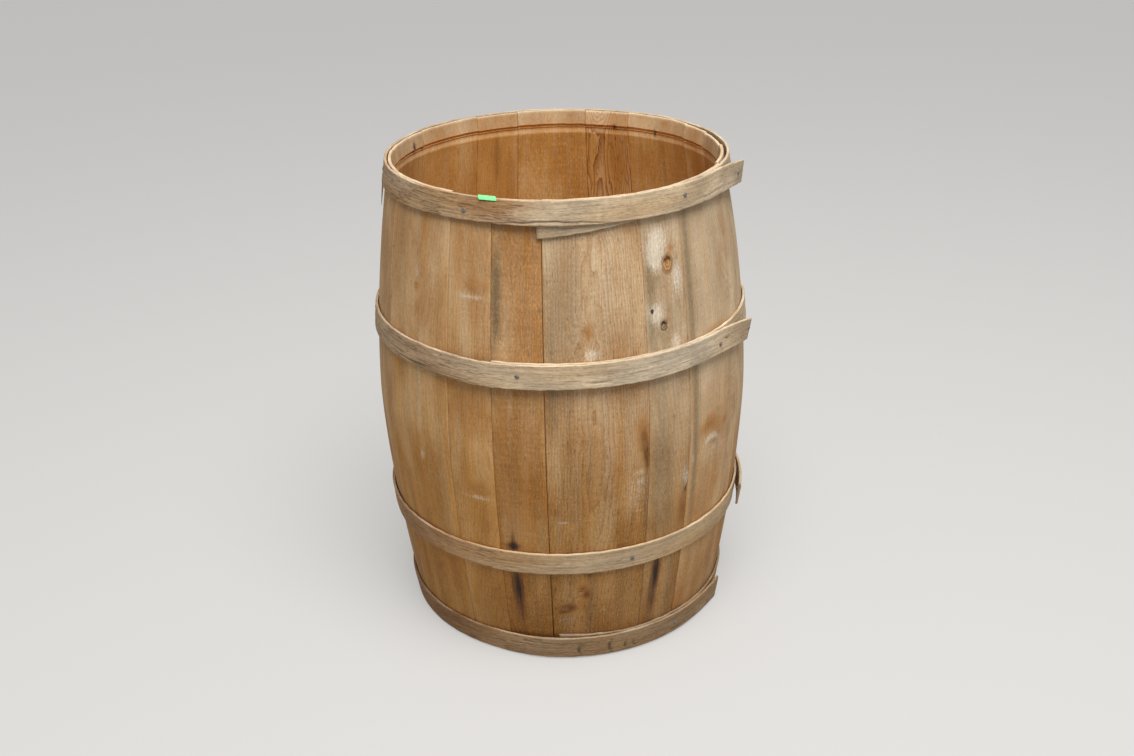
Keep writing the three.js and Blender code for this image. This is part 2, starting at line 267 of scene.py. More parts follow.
def smoothstep(x, low, high):
    """0 below low, 1 above high, and 3t^2 - 2t^3 between, where t is how far x has come."""
    t = np.clip((x - low) / (high - low), 0, 1)
    return t * t * (3 - 2 * t)


def barrel_radius(z):
    """Outer radius at height z: the bulge's radius, less its difference to the end's radius times
    |z / half height - 1| ** 1.62."""
    closing = np.abs(z / (HEIGHT / 2) - 1) ** BULGE_POWER
    return BULGE_RADIUS - (BULGE_RADIUS - END_RADIUS) * closing


def around(angle, radius, z):
    """Points at an angle in degrees (0 at the front, growing to the right), a radius and a height,
    all in mm."""
    a = np.radians(angle)
    return np.stack([radius * np.sin(a), -radius * np.cos(a), z + 0 * a], -1)


def mm_beyond(angle, at):
    """How many mm an angle lies beyond another on the bulge, by the shorter way round."""
    return np.radians((angle - at + 180) % 360 - 180) * BULGE_RADIUS


print("bulge %.0f mm across, ends %.0f mm" % (2 * barrel_radius(HEIGHT / 2), 2 * barrel_radius(0)))

# %% [markdown]
# ## Slabs
# Staves, hoops and splinters are all long slabs of wood with worn corners. A slab is a grid: one
# parameter runs along it, and the other goes round its cross-section, a rectangle with rounded
# corners. Both ends are closed with faces between the two halves of the last section. One function
# makes the section, and another turns any such grid into a closed mesh.

# %% The section of a slab, and the mesh of a grid
CORNER_STEPS = 3
SHARP_DEGREES = 42


def slab_section(face_steps):
    """Round a rectangle with rounded corners, starting at the middle of its low side. For each
    point: how far across (-1 to 1) and how deep (0 to 1) its corner's centre lies, and the
    direction from that centre to the point."""
    quarter = np.linspace(0, np.pi / 2, CORNER_STEPS + 1)
    sine, cosine = np.sin(quarter), np.cos(quarter)
    face = np.linspace(-1, 1, face_steps + 1)[1:-1]
    still = np.ones(CORNER_STEPS + 1)
    flat = np.ones(face_steps - 1)
    across = np.concatenate([[-1], -still, face, still, [1], still, -face, -still])
    deep = np.concatenate([[0.5], 0 * still, 0 * flat, 0 * still, [0.5], still, flat, still])
    out_across = np.concatenate([[-1], -cosine, 0 * flat, sine, [1], cosine, 0 * flat, -sine])
    out_deep = np.concatenate([[0], -sine, -flat, -cosine, [0], sine, flat, cosine])
    return across, deep, out_across, out_deep


def drawn_in(from_end, corner):
    """How far a face draws in near a rounded end: as a quarter circle does."""
    left = 1 - np.clip(from_end / corner, 0, 1)
    return corner * (1 - np.sqrt(np.clip(1 - left**2, 0, 1)))


def slab_depth(deep, out_deep, thickness, corner, drawn=0.0):
    """How far each point of a section lies under the outer face."""
    return corner + deep * (thickness - 2 * corner) + out_deep * corner + drawn * (1 - 2 * deep)


def slab_mesh(name, points, attributes):
    """A closed mesh from a grid of rows of closed sections: quads between neighbours, and at each
    end faces between point k and point -k of the section. Attributes are arrays with one value or
    one vector for each point."""
    rows, count = points.shape[:2]
    half = count // 2
    index = np.arange(rows * count).reshape(rows, count)
    after = np.roll(index, -1, axis=1)
    sides = np.stack([index[:-1], after[:-1], after[1:], index[1:]], -1).reshape(-1, 4)
    k = np.arange(1, half - 1)
    faces = [sides]
    for row, flip in ((index[0], 1), (index[-1], -1)):
        quads = np.stack([row[k], row[-k], row[-k - 1], row[k + 1]], -1)
        tips = np.array([[row[0], row[-1], row[1]], [row[half], row[half - 1], row[half + 1]]])
        faces += [quads[:, ::flip], tips[:, ::flip]]
    xyz = points.reshape(-1, 3)
    a, b, c, d = (xyz[sides[:, i]] for i in range(4))
    if np.einsum("ij,ij->", a, np.cross(b, c) + np.cross(c, d)) < 0:
        faces = [face[:, ::-1] for face in faces]
    mesh = bpy.data.meshes.new(name)
    mesh.vertices.add(len(xyz))
    mesh.vertices.foreach_set("co", (xyz * MM).ravel())
    corners = np.concatenate([face.ravel() for face in faces])
    sizes = np.concatenate([np.full(len(face), face.shape[1]) for face in faces])
    starts = np.concatenate([[0], np.cumsum(sizes)[:-1]])
    mesh.loops.add(len(corners))
    mesh.loops.foreach_set("vertex_index", corners.astype(np.int32))
    mesh.polygons.add(len(sizes))
    mesh.polygons.foreach_set("loop_start", starts.astype(np.int32))
    mesh.polygons.foreach_set("loop_total", sizes.astype(np.int32))
    mesh.polygons.foreach_set("use_smooth", np.ones(len(sizes), bool))
    mesh.update(calc_edges=True)
    for key, values in attributes.items():
        flat_values = np.asarray(values, float).reshape(len(xyz), -1)
        vector = flat_values.shape[1] == 3
        layer = mesh.attributes.new(key, "FLOAT_VECTOR" if vector else "FLOAT", "POINT")
        layer.data.foreach_set("vector" if vector else "value", flat_values.ravel())
    mesh.validate()
    return mesh


def new_piece(name, mesh, material, slot, *nodes):
    """An object for a finished mesh, which rides on the one body and stands for its CAD nodes."""
    piece = bpy.data.objects.new(name, mesh)
    scene.collection.objects.link(piece)
    mesh.materials.append(material)
    mesh.set_sharp_from_angle(angle=np.radians(SHARP_DEGREES))
    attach(piece, "root")
    if nodes:
        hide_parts(*nodes)
    return piece


print("a section with 10 face steps has", len(slab_section(10)[0]), "points")

# %% [markdown]
# ## Unevenness
# Nothing on an old barrel is quite straight. A sum of a few slanting waves of random direction and
# phase gives a smooth unevenness at any size, and a seed keeps it the same at every run.

# %% A smooth unevenness
WAVES = 14


def waves(seed, x, y, x_length, y_length):
    """About -1 to 1: the mean of cosines of (a x / x_length + b y / y_length + c), with a, b and c
    random for each, scaled by 1.6 so that it often comes near 1."""
    random = np.random.default_rng(seed)
    total = 0
    for _ in range(WAVES):
        a, b = random.uniform(-1, 1, 2) * 2 * np.pi
        total = total + np.cos(a * x / x_length + b * y / y_length + random.uniform(0, 2 * np.pi))
    return np.clip(1.6 * total / np.sqrt(WAVES * 2), -1.5, 1.5)


def roughness_waves(*args):
    """The same unevenness, from 0 to about 1, for what can only be taken away."""
    return (1 + waves(*args)) / 2


def blots(marks, angle, z, first, last, sharpness=2):
    """Adds up marks (angle, height, half width, half height, amount, sag), each as
    amount * exp(-(x^2) - |y|^sharpness), with x and y counted in half widths and half heights. The
    mark's sides sag mm lower than its middle, by x^2; sag is 0 where it isn't given. Only marks
    whose angle lies on the stave count."""
    total = np.zeros_like(z)
    for at, height, half_width, half_height, amount, *sag in marks:
        if first <= at < last:
            x = mm_beyond(angle, at) / half_width
            y = np.abs(z - height + sum(sag) * x**2) / half_height
            total = total + amount * np.exp(-(x**2) - y**sharpness)
    return total


places = np.array([0.0, 50.0, 100.0])
print("unevenness at three places:", waves(1, places, 0.0, 60.0, 60.0).round(2))

# %% [markdown]
# ## What each stave carries
# These marks are what makes this barrel itself: knots, orange resin, bleached patches, grey
# weathering, and the black streaks that iron nails leave below a hoop when rain runs off them. A
# few dark and grey bands are painted shade: along stave edges that curve away, and under a ridge.
# Each is written with its angle in degrees round the barrel, its height, its half width and half
# height in mm, and how strong it is.

# %% The marks on the staves
# Dark streaks; those at 41 to 43 degrees are painted shade along a stave edge that curves away.
STREAK_AND_SHADE_MARKS = [
    (-18.7, 594, 7.5, 62, 0.8), (-18.9, 500, 6, 60, 0.3), (1.5, 319, 9, 70, 0.32),
    (39.3, 590, 2.5, 110, 0.4), (42, 600, 6, 120, 0.45), (42.2, 330, 6, 150, 0.55),
    (24.3, 300, 3, 70, 0.45), (-47.3, 433, 3, 90, 0.2), (60.2, 279, 5, 60, 0.35),
    (63.1, 589, 4, 70, 0.25), (203.7, 649, 5, 42, 0.5), (135.5, 640, 4, 60, 0.5),
    (27, 590, 5, 80, 0.35), (29, 290, 6, 110, 0.12), (21, 560, 3, 80, 0.2),
    (-2.8, 480, 4, 90, 0.25),
]
DARK_MARKS = [
    (-16.2, 209, 12, 7, 0.9), (-16.1, 222, 4.5, 16, 0.5), (-15.8, 140, 9, 30, 0.85),
    (-15.3, 96, 9, 42, 0.55), (29.7, 142, 7.5, 32, 1), (29.1, 92, 8, 42, 0.55),
    (39.1, 380, 2.4, 80, 0.35), (7.7, 159, 17, 7, 0.4), (-2.8, 272, 9, 11, 0.35),
    (6.4, 207, 9, 7, 0.3), (39, 272, 3, 6, 0.8), (1, 96, 9, 4, 0.6), (24.3, 338, 3, 14, 0.5),
    (138.9, 697, 2.6, 7, 0.8), (156.9, 700, 5, 5, 0.85), (246, 705, 5, 9, 0.9),
    (240.3, 698, 3, 5, 0.5), (72.6, 599, 4, 90, 0.35), (33.2, 624, 2.4, 5, 0.5),
    (6.6, 549, 3.5, 4, 0.35), (7.9, 534, 2.5, 5, 0.25), (48.3, 372, 7, 6, 0.22),
]
ORANGE_MARKS = [
    (23, 386, 9, 28, 1), (23.9, 362, 6, 20, 1), (24.3, 343, 4, 18, 0.8), (21, 333, 9, 8, 0.35),
    (35.2, 641, 5, 6, 0.8), (48.3, 362, 22, 15, 1, 6), (57.5, 352, 10, 9, 0.6),
    (0.4, 97, 15, 8, 1.8), (-1.5, 89, 10, 5, 1), (6, 121, 10, 8, 1.35), (4.6, 134, 8, 6, 1),
    (-48.1, 583, 6, 8, 0.7), (-27.2, 605, 20, 10, 0.45), (-21.8, 603, 9, 10, 0.35),
    (-25.2, 302, 20, 14, 0.55), (38.7, 246, 12, 22, 0.7), (38, 222, 14, 16, 0.55),
    (33.6, 622, 9, 13, 0.85), (58.6, 589, 14, 36, 0.35), (7.4, 545, 7, 10, 0.95),
    (5.2, 526, 5, 7, 0.6), (-18.3, 393, 12, 60, 0.2), (-12.4, 290, 26, 80, 0.35),
    (53.5, 505, 34, 7, 0.5), (10.5, 151, 30, 12, 0.35), (157.5, 650, 16, 60, 0.75),
    (128.5, 640, 18, 60, 0.35), (115.4, 650, 18, 60, 0.6), (134.5, 715, 9, 8, 0.5),
    (203.7, 649, 9, 44, 0.5), (21, 676, 12, 9, 0.4), (246, 698, 14, 16, 0.3),
    (66.8, 399, 9, 30, 0.4),
]
PALE_MARKS = [
    (29.6, 640, 16, 24, 1.35), (31.5, 664, 14, 14, 0.55), (36.8, 598, 10, 22, 0.9),
    (28.6, 556, 13, 16, 1), (35, 508, 9, 14, 0.9), (8.5, 512, 10, 9, 0.9),
    (-26.7, 587, 26, 4, 0.55), (-46.5, 327, 5, 10, 0.6), (-47.7, 602, 5, 12, 0.5),
    (-26.2, 285, 24, 3.5, 0.55), (49.8, 340, 19, 4.5, 0.85, 9), (51.5, 318, 16, 14, 0.25),
    (22, 326, 8, 4, 0.45), (22.6, 311, 8, 3, 0.4), (39, 284, 4, 16, 0.8), (41.3, 318, 3, 14, 0.6),
    (22, 290, 13, 38, 0.35), (12.4, 351, 5, 60, 0.25), (-0.7, 255, 8, 1.8, 0.7),
    (11.5, 87, 14, 2.5, 0.4), (-0.4, 73, 15, 4, 0.45), (37.8, 300, 8, 18, 0.5),
    (66.8, 409, 6, 20, 0.4), (53.5, 299, 20, 40, 0.25),
]
GREY_MARKS = [
    (28, 610, 12, 36, 1), (31.4, 520, 18, 22, 0.7), (26.8, 540, 7, 40, 0.8),
    # (41.4, 600) and (42.2, 340) are grey weathering and painted shade along a stave edge.
    (0.5, 591, 30, 90, 0.55), (29.4, 400, 22, 110, 0.3), (41.4, 600, 8, 120, 0.8),
    (42.2, 340, 7, 150, 0.7), (-2.5, 471, 12, 60, 0.45), (55.5, 600, 40, 110, 0.3),
    (29.4, 300, 18, 80, 0.45), (33, 232, 14, 30, 0.3), (-56.2, 623, 22, 80, 0.3),
    # (50.8, 328) is painted shade under the pale ridge above it.
    (50.8, 328, 12, 4, 0.7, 6), (36.5, 575, 6, 50, 0.5), (-18.7, 594, 7, 62, 0.8),
    (33.5, 556, 8, 14, 0.6),
]
# Knots: angle, height, half width, half height, darkness, and how far the rings are pushed aside.
KNOTS = [
    (33.6, 621, 9.6, 13.2, 0.9, 15), (27.3, 560, 2.6, 3, 1.4, 4), (31, 537, 5.8, 7.2, 1.15, 10),
    (-48.1, 583, 3.2, 4, 0.5, 6), (6.5, 541, 6.5, 9, 0.22, 12), (5.2, 519, 7, 8, 0.25, 10),
    (4.4, 125, 6, 6, 0.5, 9), (5.5, 385, 4, 7, 0.15, 7), (-24.7, 300, 12, 10, 0.15, 12),
    (50.5, 336, 13, 8, 0.2, 12), (62.6, 401, 8, 9, 0.15, 8), (-26.2, 605, 12, 8, 0.1, 9),
    (-0, 95, 14, 5, 0.3, 8), (38.4, 276, 5, 12, 0.2, 10), (23.2, 372, 6, 14, 0.2, 9),
    (178, 716, 3, 9, 0, 7), (221, 715, 5, 12, 0, 8), (61.6, 544, 6, 10, 0.1, 6),
    (14.5, 690, 9, 12, 0, 6),
]
# Torn grain and dents: angle, height, half width, half height, depth in mm.
DENTS = [
    (39.3, 268, 5, 14, 1.5), (38.6, 292, 5, 12, 0.7), (27.3, 560, 2, 2.4, 1.6),
    (24.3, 330, 3, 24, 0.7), (31, 537, 4.5, 5, 0.7), (32.4, 620, 2.6, 7, 0.4),
    (50, 343, 18, 3, 0.5), (-26.2, 290, 22, 2.5, 0.35), (42.6, 330, 7, 130, 0.9),
    (41.6, 600, 6, 110, 0.7), (-26.7, 591, 24, 3, 0.3), (72, 559, 8, 130, 1),
]
# For each stave, outside: bleached at the foot and at the shoulder, brightness there, orange
# warmth, ring contrast, fuzz left by the saw, and mm from the face to the pith.
# Most feet are darker than the shoulders: partly the wood's own dirt, partly painted shade.
OUTER_TONES = [
    (0, 0.43, -0.02, 0.02, 0.06, 0.35, 0.5, 60), (0, 0.38, -0.03, -0.03, 0.08, 0.45, 0.6, 45),
    (0, 0.38, -0.16, -0.09, 0.27, 0.4, 1.2, 30), (0.1, 0.74, -0.16, -0.03, 0.06, 0.75, 0.9, 34),
    (0.2, 0.97, -0.19, 0.02, 0.02, 0.45, 0.7, 70), (0.34, 0.97, 0.12, 0.06, 0.03, 0.45, 0.6, 50),
    (0.38, 0.95, -0.08, 0, 0.02, 0.35, 0.6, 60), (0.2, 0.75, -0.12, -0.03, 0.1, 0.45, 0.8, 35),
    (0.25, 0.8, -0.1, 0, 0.05, 0.4, 0.5, 55), (0.12, 0.55, -0.1, 0.02, 0.2, 0.45, 0.7, 40),
    (0.2, 0.6, -0.14, -0.04, 0.15, 0.65, 0.6, 25), (0.25, 0.85, -0.08, 0.03, 0.04, 0.4, 0.6, 70),
    (0.1, 0.5, -0.12, 0, 0.24, 0.45, 0.9, 45), (0.15, 0.65, -0.1, 0.02, 0.1, 0.4, 0.6, 50),
    (0.2, 0.6, -0.12, -0.02, 0.08, 0.35, 0.7, 65), (0.1, 0.52, -0.08, -0.03, 0.05, 0.35, 0.5, 50),
]
# Inside, the same columns. The shoulders from 109 to 239 degrees are brighter: painted light.
INNER_TONES = [
    (0.05, 0.05, -0.05, 0, 0.15, 0.3, 0.5, 60), (0.05, 0.05, -0.05, 0, 0.15, 0.3, 0.5, 45),
    (0.05, 0.05, -0.05, 0, 0.25, 0.4, 0.7, 30), (0.06, 0.06, -0.05, 0, 0.15, 0.35, 0.6, 40),
    (0.06, 0.06, -0.05, 0, 0.2, 0.3, 0.6, 70), (0.06, 0.06, -0.05, 0, 0.15, 0.3, 0.5, 50),
    (0.06, 0.06, -0.05, 0, 0.12, 0.3, 0.6, 60), (0.05, 0.05, -0.05, 0.02, 0.12, 0.35, 0.5, 35),
    (0.05, 0.05, -0.05, 0.26, 0.04, 0.35, 0.8, 55), (0.05, 0.05, -0.05, 0.17, 0.02, 0.35, 1.3, 40),
    (0.03, 0.03, -0.05, 0.22, 0.1, 1.4, 0.6, 16), (0.08, 0.08, -0.05, 0.1, 0.02, 0.3, 1.5, 70),
    (0.04, 0.04, -0.05, 0.13, 0.05, 0.4, 0.7, 45), (0.07, 0.07, -0.05, 0.09, 0.05, 0.3, 1, 50),
    (0.12, 0.12, -0.05, 0, 0.08, 0.3, 0.6, 65), (0.1, 0.1, -0.05, 0, 0.1, 0.3, 0.5, 50),
]
ALL_MARKS = (STREAK_AND_SHADE_MARKS, DARK_MARKS, ORANGE_MARKS, PALE_MARKS, GREY_MARKS, KNOTS, DENTS)
print(sum(map(len, ALL_MARKS)), "marks")

# %% [markdown]
# ## Staves
# A stave is a slab whose section is bent round the axis, and whose thickness follows the chime: a
# bevel at the end, the groove that holds the head, and a shallow hollow behind it. Each stave was
# cut from its own board, so each gets a pith somewhere behind its face. The distance from that pith
# is what the growth rings follow, and a knot pushes them aside.

# %% The rows and the thickness of a stave
ROW_STEP = 3.6
FACE_STEP = 2.4
CHIME_FLAT, CHIME_DEPTH = 4.5, 22.0
GROOVE_WIDTH, GROOVE_DEPTH, GROOVE_SLANT = 4.5, 4.5, 0.3
HOWEL_DEPTH, HOWEL_LENGTH = 1.4, 12.0
STAVE_CORNER = 0.9
END_CORNER = 0.8
STAVE_ENDS_LOWER_BY = [
    0.6, 2.6, 2.9, 2.7, 3.0, 2.2, 1.4, 2.6, 1.6, 1.2, 2.2, 0.9, 1.9, 1.0, 1.5, 0.5
]

GROOVE_END = CHIME_DEPTH + GROOVE_WIDTH
HOWEL_END = GROOVE_END + HOWEL_LENGTH
# The inner face near an end: distance from the end, and thickness there.
CHIME = np.array(
    [
        (0, CHIME_FLAT),
        (CHIME_DEPTH, STAVE_THICKNESS),
        (CHIME_DEPTH + GROOVE_SLANT, STAVE_THICKNESS - GROOVE_DEPTH),
        (GROOVE_END, STAVE_THICKNESS - GROOVE_DEPTH),
        (GROOVE_END + GROOVE_SLANT, STAVE_THICKNESS - HOWEL_DEPTH),
        (HOWEL_END, STAVE_THICKNESS),
    ]
)


def stave_rows():
    """Heights of the rows: even steps, with extra rows at each end's rounded corner and on both
    sides of each groove edge."""
    even = np.arange(0, HEIGHT / 2, ROW_STEP)
    even = even[(even > 2) & ~((even > 20) & (even < 29))]
    corner = END_CORNER * np.array([0.15, 0.5, 1.0])
    edges = (CHIME[1:5, :1] + np.array([-0.35, 0, 0.35])).ravel()
    below = np.unique(np.concatenate([[0], corner, edges, even, [HOWEL_END]]).round(2))
    below = below[np.concatenate([[True], np.diff(below) > 0.1])]
    return np.concatenate([below, HEIGHT - below[::-1]])


def stave_thickness(z):
    """Thickness at height z, read from the chime's outline at the distance from the nearer end.
    The empty upper groove has worn down to two thirds of its depth."""
    from_top = HEIGHT - z
    in_groove = (z > HEIGHT / 2) & (from_top > CHIME_DEPTH) & (from_top < GROOVE_END + GROOVE_SLANT)
    thickness = np.interp(np.minimum(z, from_top), CHIME[:, 0], CHIME[:, 1])
    return thickness + np.where(in_groove, GROOVE_DEPTH / 3, 0)


ROWS = stave_rows()
print(len(ROWS), "rows, thickness", stave_thickness(0.0), "to", stave_thickness(HEIGHT / 2), "mm")

# %% Make the grid of one stave
# Only the outer faces of the first seven staves can be seen in the photograph.
FRONT_STAVES = 7
SWELL_MM, RIPPLE_MM = 0.35, 0.12
CHIP_MM, WORN_EDGE_MM, EDGE_WIDTH = 0.9, 0.25, 2.2
KNOT_BOSS_MM, KNOT_MOAT_MM = 0.35, 0.3
END_UNEVENNESS_MM = 0.5


def knot_offset(angle, z, at, height, half_width, half_height):
    """Across and up from a knot's middle, counted in its half widths, and the distance."""
    x, y = mm_beyond(angle, at) / half_width, (z - height) / half_height
    return x, y, np.sqrt(x**2 + y**2)


def stave_grid(number):
    """Across a stave goes the angle, and along it the height. Radius = barrel radius - depth
    - looseness * flatness - leaning * sunk - relief, with
    flatness = 0.08 * radius * (1 - cos(half width) / cos(angle off the middle))."""
    joint, next_joint = STAVE_JOINTS[number], STAVE_JOINTS[number + 1]
    ends = []
    for at, side in ((joint, 1), (next_joint, -1)):
        gap = OPEN_JOINT_GAP if at == OPEN_JOINT else JOINT_GAP
        ends.append(at + side * np.degrees(gap / 2 / BULGE_RADIUS))
    middle = sum(ends) / 2
    half = np.radians(ends[1] - ends[0]) / 2
    width = 2 * half * BULGE_RADIUS
    across, deep, out_across, out_deep = slab_section(int(round(width / FACE_STEP)))
    z = ROWS[:, None] + 0 * across
    from_end = np.minimum(z, HEIGHT - z)
    s = across * (width / 2 - STAVE_CORNER) + out_across * STAVE_CORNER + 0 * z
    drawn = drawn_in(from_end, END_CORNER)
    depth = slab_depth(deep, out_deep, stave_thickness(z), STAVE_CORNER, drawn)
    angle = middle + np.degrees(s / BULGE_RADIUS)
    # Relief: shallow waves on the faces, chipped edges, dents, torn grain and knots.
    outer = (1 - deep) * np.ones_like(z)
    edge = np.exp(-((np.abs(np.abs(s) - width / 2) / EDGE_WIDTH) ** 2))
    relief = SWELL_MM * roughness_waves(100 + number, s, z, 90, 420)
    relief = relief + RIPPLE_MM * roughness_waves(200 + number, s, z, 16, 70)
    chips = np.clip(waves(300 + number, s, z, 400, 26) - 0.55, 0, 1)
    relief = relief + edge * (CHIP_MM * chips + WORN_EDGE_MM)
    relief = relief + blots(DENTS, angle, z, joint, next_joint)
    for at, *size, _, _ in KNOTS if number < FRONT_STAVES else []:
        if joint <= at < next_joint:
            off = knot_offset(angle, z, at, *size)[-1]
            moat = np.exp(-((off - 1.2) ** 2) / 0.05)
            relief = relief - KNOT_BOSS_MM * np.exp(-(off**2)) + KNOT_MOAT_MM * moat
    inward = 0.5 * relief * (1 - outer) * (from_end > CHIME_DEPTH + 8)
    radius = barrel_radius(z) - depth
    flat = STAVE_FLATNESS * radius * (1 - np.cos(half) / np.cos(np.radians(angle - middle)))
    loose = smoothstep(z, TIGHT_UP_TO, LOOSE_FROM)
    leaning = smoothstep(z, LEANS_FROM, LEANS_UP_TO) * SUNK_STAVES.get(float(joint), 0.0)
    radius = radius - loose * flat - leaning - np.clip(relief * outer - inward, -0.5, 3)
    # The staves' upper ends stop a little below the hoop's edge, each at its own height.
    lower_by = STAVE_ENDS_LOWER_BY[number]
    lower_by = lower_by + END_UNEVENNESS_MM * roughness_waves(400 + number, s, 0 * z, 30, 30)
    points = around(angle, radius, z - lower_by * smoothstep(z, HEIGHT - 60, HEIGHT))
    return points, s, z, depth, angle, outer, width


points, s, z, depth, angle, outer, width = stave_grid(3)
print("the front stave is %.0f mm wide, with %d x %d points" % (width, *points.shape[:2]))

# %% [markdown]
# The figure of the wood is stored on the mesh, for the material to read. "grain" is the place in the
# board in metres: across, along, and into it. "ring" is the distance from the pith, which wanders
# along the board and is pushed outwards round knots. The other attributes say how strongly the
# surface is stained, bleached, greyed or warmed there.

# %% Work out the figure and the marks of one stave
TONE_NAMES = (
    "foot_bleached", "shoulder_bleached", "foot_bright", "shoulder_bright",
    "warmth", "figure", "fuzz",
)
FOOT_UP_TO, SHOULDER_FROM = 150, 600
FOOT_DIRT_AND_SHADE_FROM, FOOT_DIRT_AND_SHADE_UP_TO = 40, 260
FAR_AWAY = 99.0


def stave_attributes(number, s, z, depth, angle, outer, width):
    """ring = sqrt((s - pith across)^2 + (pith depth + depth)^2) + wandering + push of each knot;
    marks as blots."""
    random = np.random.default_rng(500 + number)
    joint, next_joint = STAVE_JOINTS[number], STAVE_JOINTS[number + 1]
    inside = 1 - outer
    tones = zip(OUTER_TONES[number], INNER_TONES[number])
    *tones, pith_depth = (out_tone * outer + in_tone * inside for out_tone, in_tone in tones)
    tone = dict(zip(TONE_NAMES, tones))
    pith_across = random.uniform(-0.5, 0.5) * width + 12 * waves(600 + number, z, 0 * z, 700, 1)
    pith_depth = pith_depth * (1 + 0.35 * waves(650 + number, 0 * z, z, 1, 900))
    ring = np.sqrt((s - pith_across) ** 2 + (pith_depth + depth) ** 2)
    ring = ring + 2.2 * waves(670 + number, s, z, 120, 500)
    ring = ring + 0.7 * waves(690 + number, s, z, 16, 60)
    wild = np.clip(tone["figure"] - 0.7, 0, 1)
    ring = ring + 2.4 * wild * waves(680 + number, s, z, 26, 150)
    # Marks seen from the front belong to the outside, and those at the back to the inside.
    shown_face = outer if number < FRONT_STAVES else inside
    knot = np.zeros_like(z)
    nearest = np.full_like(z, FAR_AWAY)
    knot_place = np.full((*z.shape, 3), FAR_AWAY)
    for at, *size, darkness, push in KNOTS:
        if joint <= at < next_joint:
            x, y, off = knot_offset(angle, z, at, *size)
            ring = ring + shown_face * push * np.exp(-((off / 1.6) ** 2))
            # Beyond two knot widths the place runs away faster, so that no knot shows twice.
            away = 1 + 3 * np.clip(off - 2, 0, None)
            place = np.stack([x * away, y * away, 0 * x], -1)
            close = off < nearest
            nearest = np.where(close, off, nearest)
            knot_place = np.where(close[..., None], place, knot_place)
            knot = np.where(close & (off < 4), darkness * shown_face, knot)

    def face(marks, sharpness=2):
        return shown_face * blots(marks, angle, z, joint, next_joint, sharpness)

    def band(low, high, soft_low, soft_high):
        """1 inside the barrel from low to high mm off the nearer end, with soft limits."""
        rise = smoothstep(from_end, low - soft_low[0], low + soft_low[1])
        return inside * rise * (1 - smoothstep(from_end, high - soft_high[0], high + soft_high[1]))

    from_end = np.minimum(z, HEIGHT - z)
    chime_band = inside * (1 - smoothstep(from_end, CHIME_DEPTH - 1, CHIME_DEPTH + 1))
    groove = band(CHIME_DEPTH, GROOVE_END, (0.5, 0.5), (0.5, 0.5))
    howel = band(GROOVE_END, HOWEL_END, (0, 1.5), (2, 1))
    end_grain = 1 - smoothstep(from_end, 0.6, 1.6)
    up = smoothstep(z, FOOT_UP_TO, SHOULDER_FROM)
    bleached = tone["foot_bleached"] * (1 - up) + tone["shoulder_bleached"] * up
    bright = tone["foot_bright"] * (1 - up) + tone["shoulder_bright"] * up
    # Dark streaks: partly grey streaks in the wood, partly painted shade along curved stave edges.
    stripe = face(STREAK_AND_SHADE_MARKS, 6)
    # The foot is darker and warmer: partly its own dirt, partly painted shade.
    foot_dirt_and_shade = outer * (1 - smoothstep(z, FOOT_DIRT_AND_SHADE_FROM, FOOT_DIRT_AND_SHADE_UP_TO))
    mottled = outer * (0.02 + 0.055 * (1 - up)) * waves(720 + number, s, z, 24, 260)
    offset = np.array([0.61, 0.37, 0.23]) * (number + 1)
    return {
        "grain": np.stack([s * MM, z * MM, depth * MM], -1) + offset,
        "ring": ring * MM,
        # The howel is paler and brighter: partly fresher wood, partly a painted highlight facing up.
        "bleached": bleached + 0.5 * end_grain + 0.5 * chime_band + 0.4 * howel - 0.1 * groove,
        # The groove is warmer and brighter: painted light against the shade inside it.
        "warmth": tone["warmth"] - 0.2 * end_grain + 0.22 * foot_dirt_and_shade + 0.3 * groove,
        "orange": face(ORANGE_MARKS),
        "bright": bright + 0.12 * end_grain - 0.16 * chime_band + 0.38 * howel + 0.4 * groove
        - 0.15 * foot_dirt_and_shade - 0.42 * stripe + mottled,
        "figure": tone["figure"] * (1 - 0.4 * chime_band),
        "fuzz": tone["fuzz"] * (1 - chime_band),
        "grey": face(GREY_MARKS) + 0.25 * stripe,
        "pale": face(PALE_MARKS),
        "dark": face(DARK_MARKS),
        "knot": knot,
        "knot_place": knot_place,
    }


print("attributes:", sorted(stave_attributes(3, s, z, depth, angle, outer, width)))

# %% [markdown]
# ## Softwood
# The staves are spruce or pine, sawn and bent, then left in the weather. Fresh, such wood is honey
# coloured, with darker late wood at each ring. Light bleaches it from the top down, and rain turns
# it grey. The saw leaves torn fibres as pale fuzz, and faint bars across the grain. All of this is
# mixed from the attributes above, and from noise that is stretched along the grain. Fibres and fuzz
# are drawn about twice as coarse as the real ones, because those would be too fine to show.

# %% The material of the staves
RING_SPACING_MM = 3.2
softwood, tree, shader = new_material("rough_sawn_softwood")
mark_names = (
    "ring", "bleached", "warmth", "orange", "bright", "figure",
    "fuzz", "grey", "pale", "dark", "knot",
)
mark = {name: attribute(name) for name in mark_names}
fibre, stripe, streak, cloud, bars, fuzz, dash = noise_fields(
    attribute("grain", "Vector"),
    (1.9, 30, 3.0, 0.6), (3.4, 110, 1.0, 0.5), (11, 240, 2.0, 0.5), (55, 120, 2.0, 0.5),
    (34, 4.4, 1.0, 0.5), (2.2, 4.2, 2.0, 0.6), (2.0, 12, 1.0, 0.5),
)

turns = math("DIVIDE", mark["ring"], RING_SPACING_MM * MM)
turns = math("ADD", turns, math("MULTIPLY", streak, 0.9))
late_wood = math("POWER", math("FRACT", turns), 2.4)

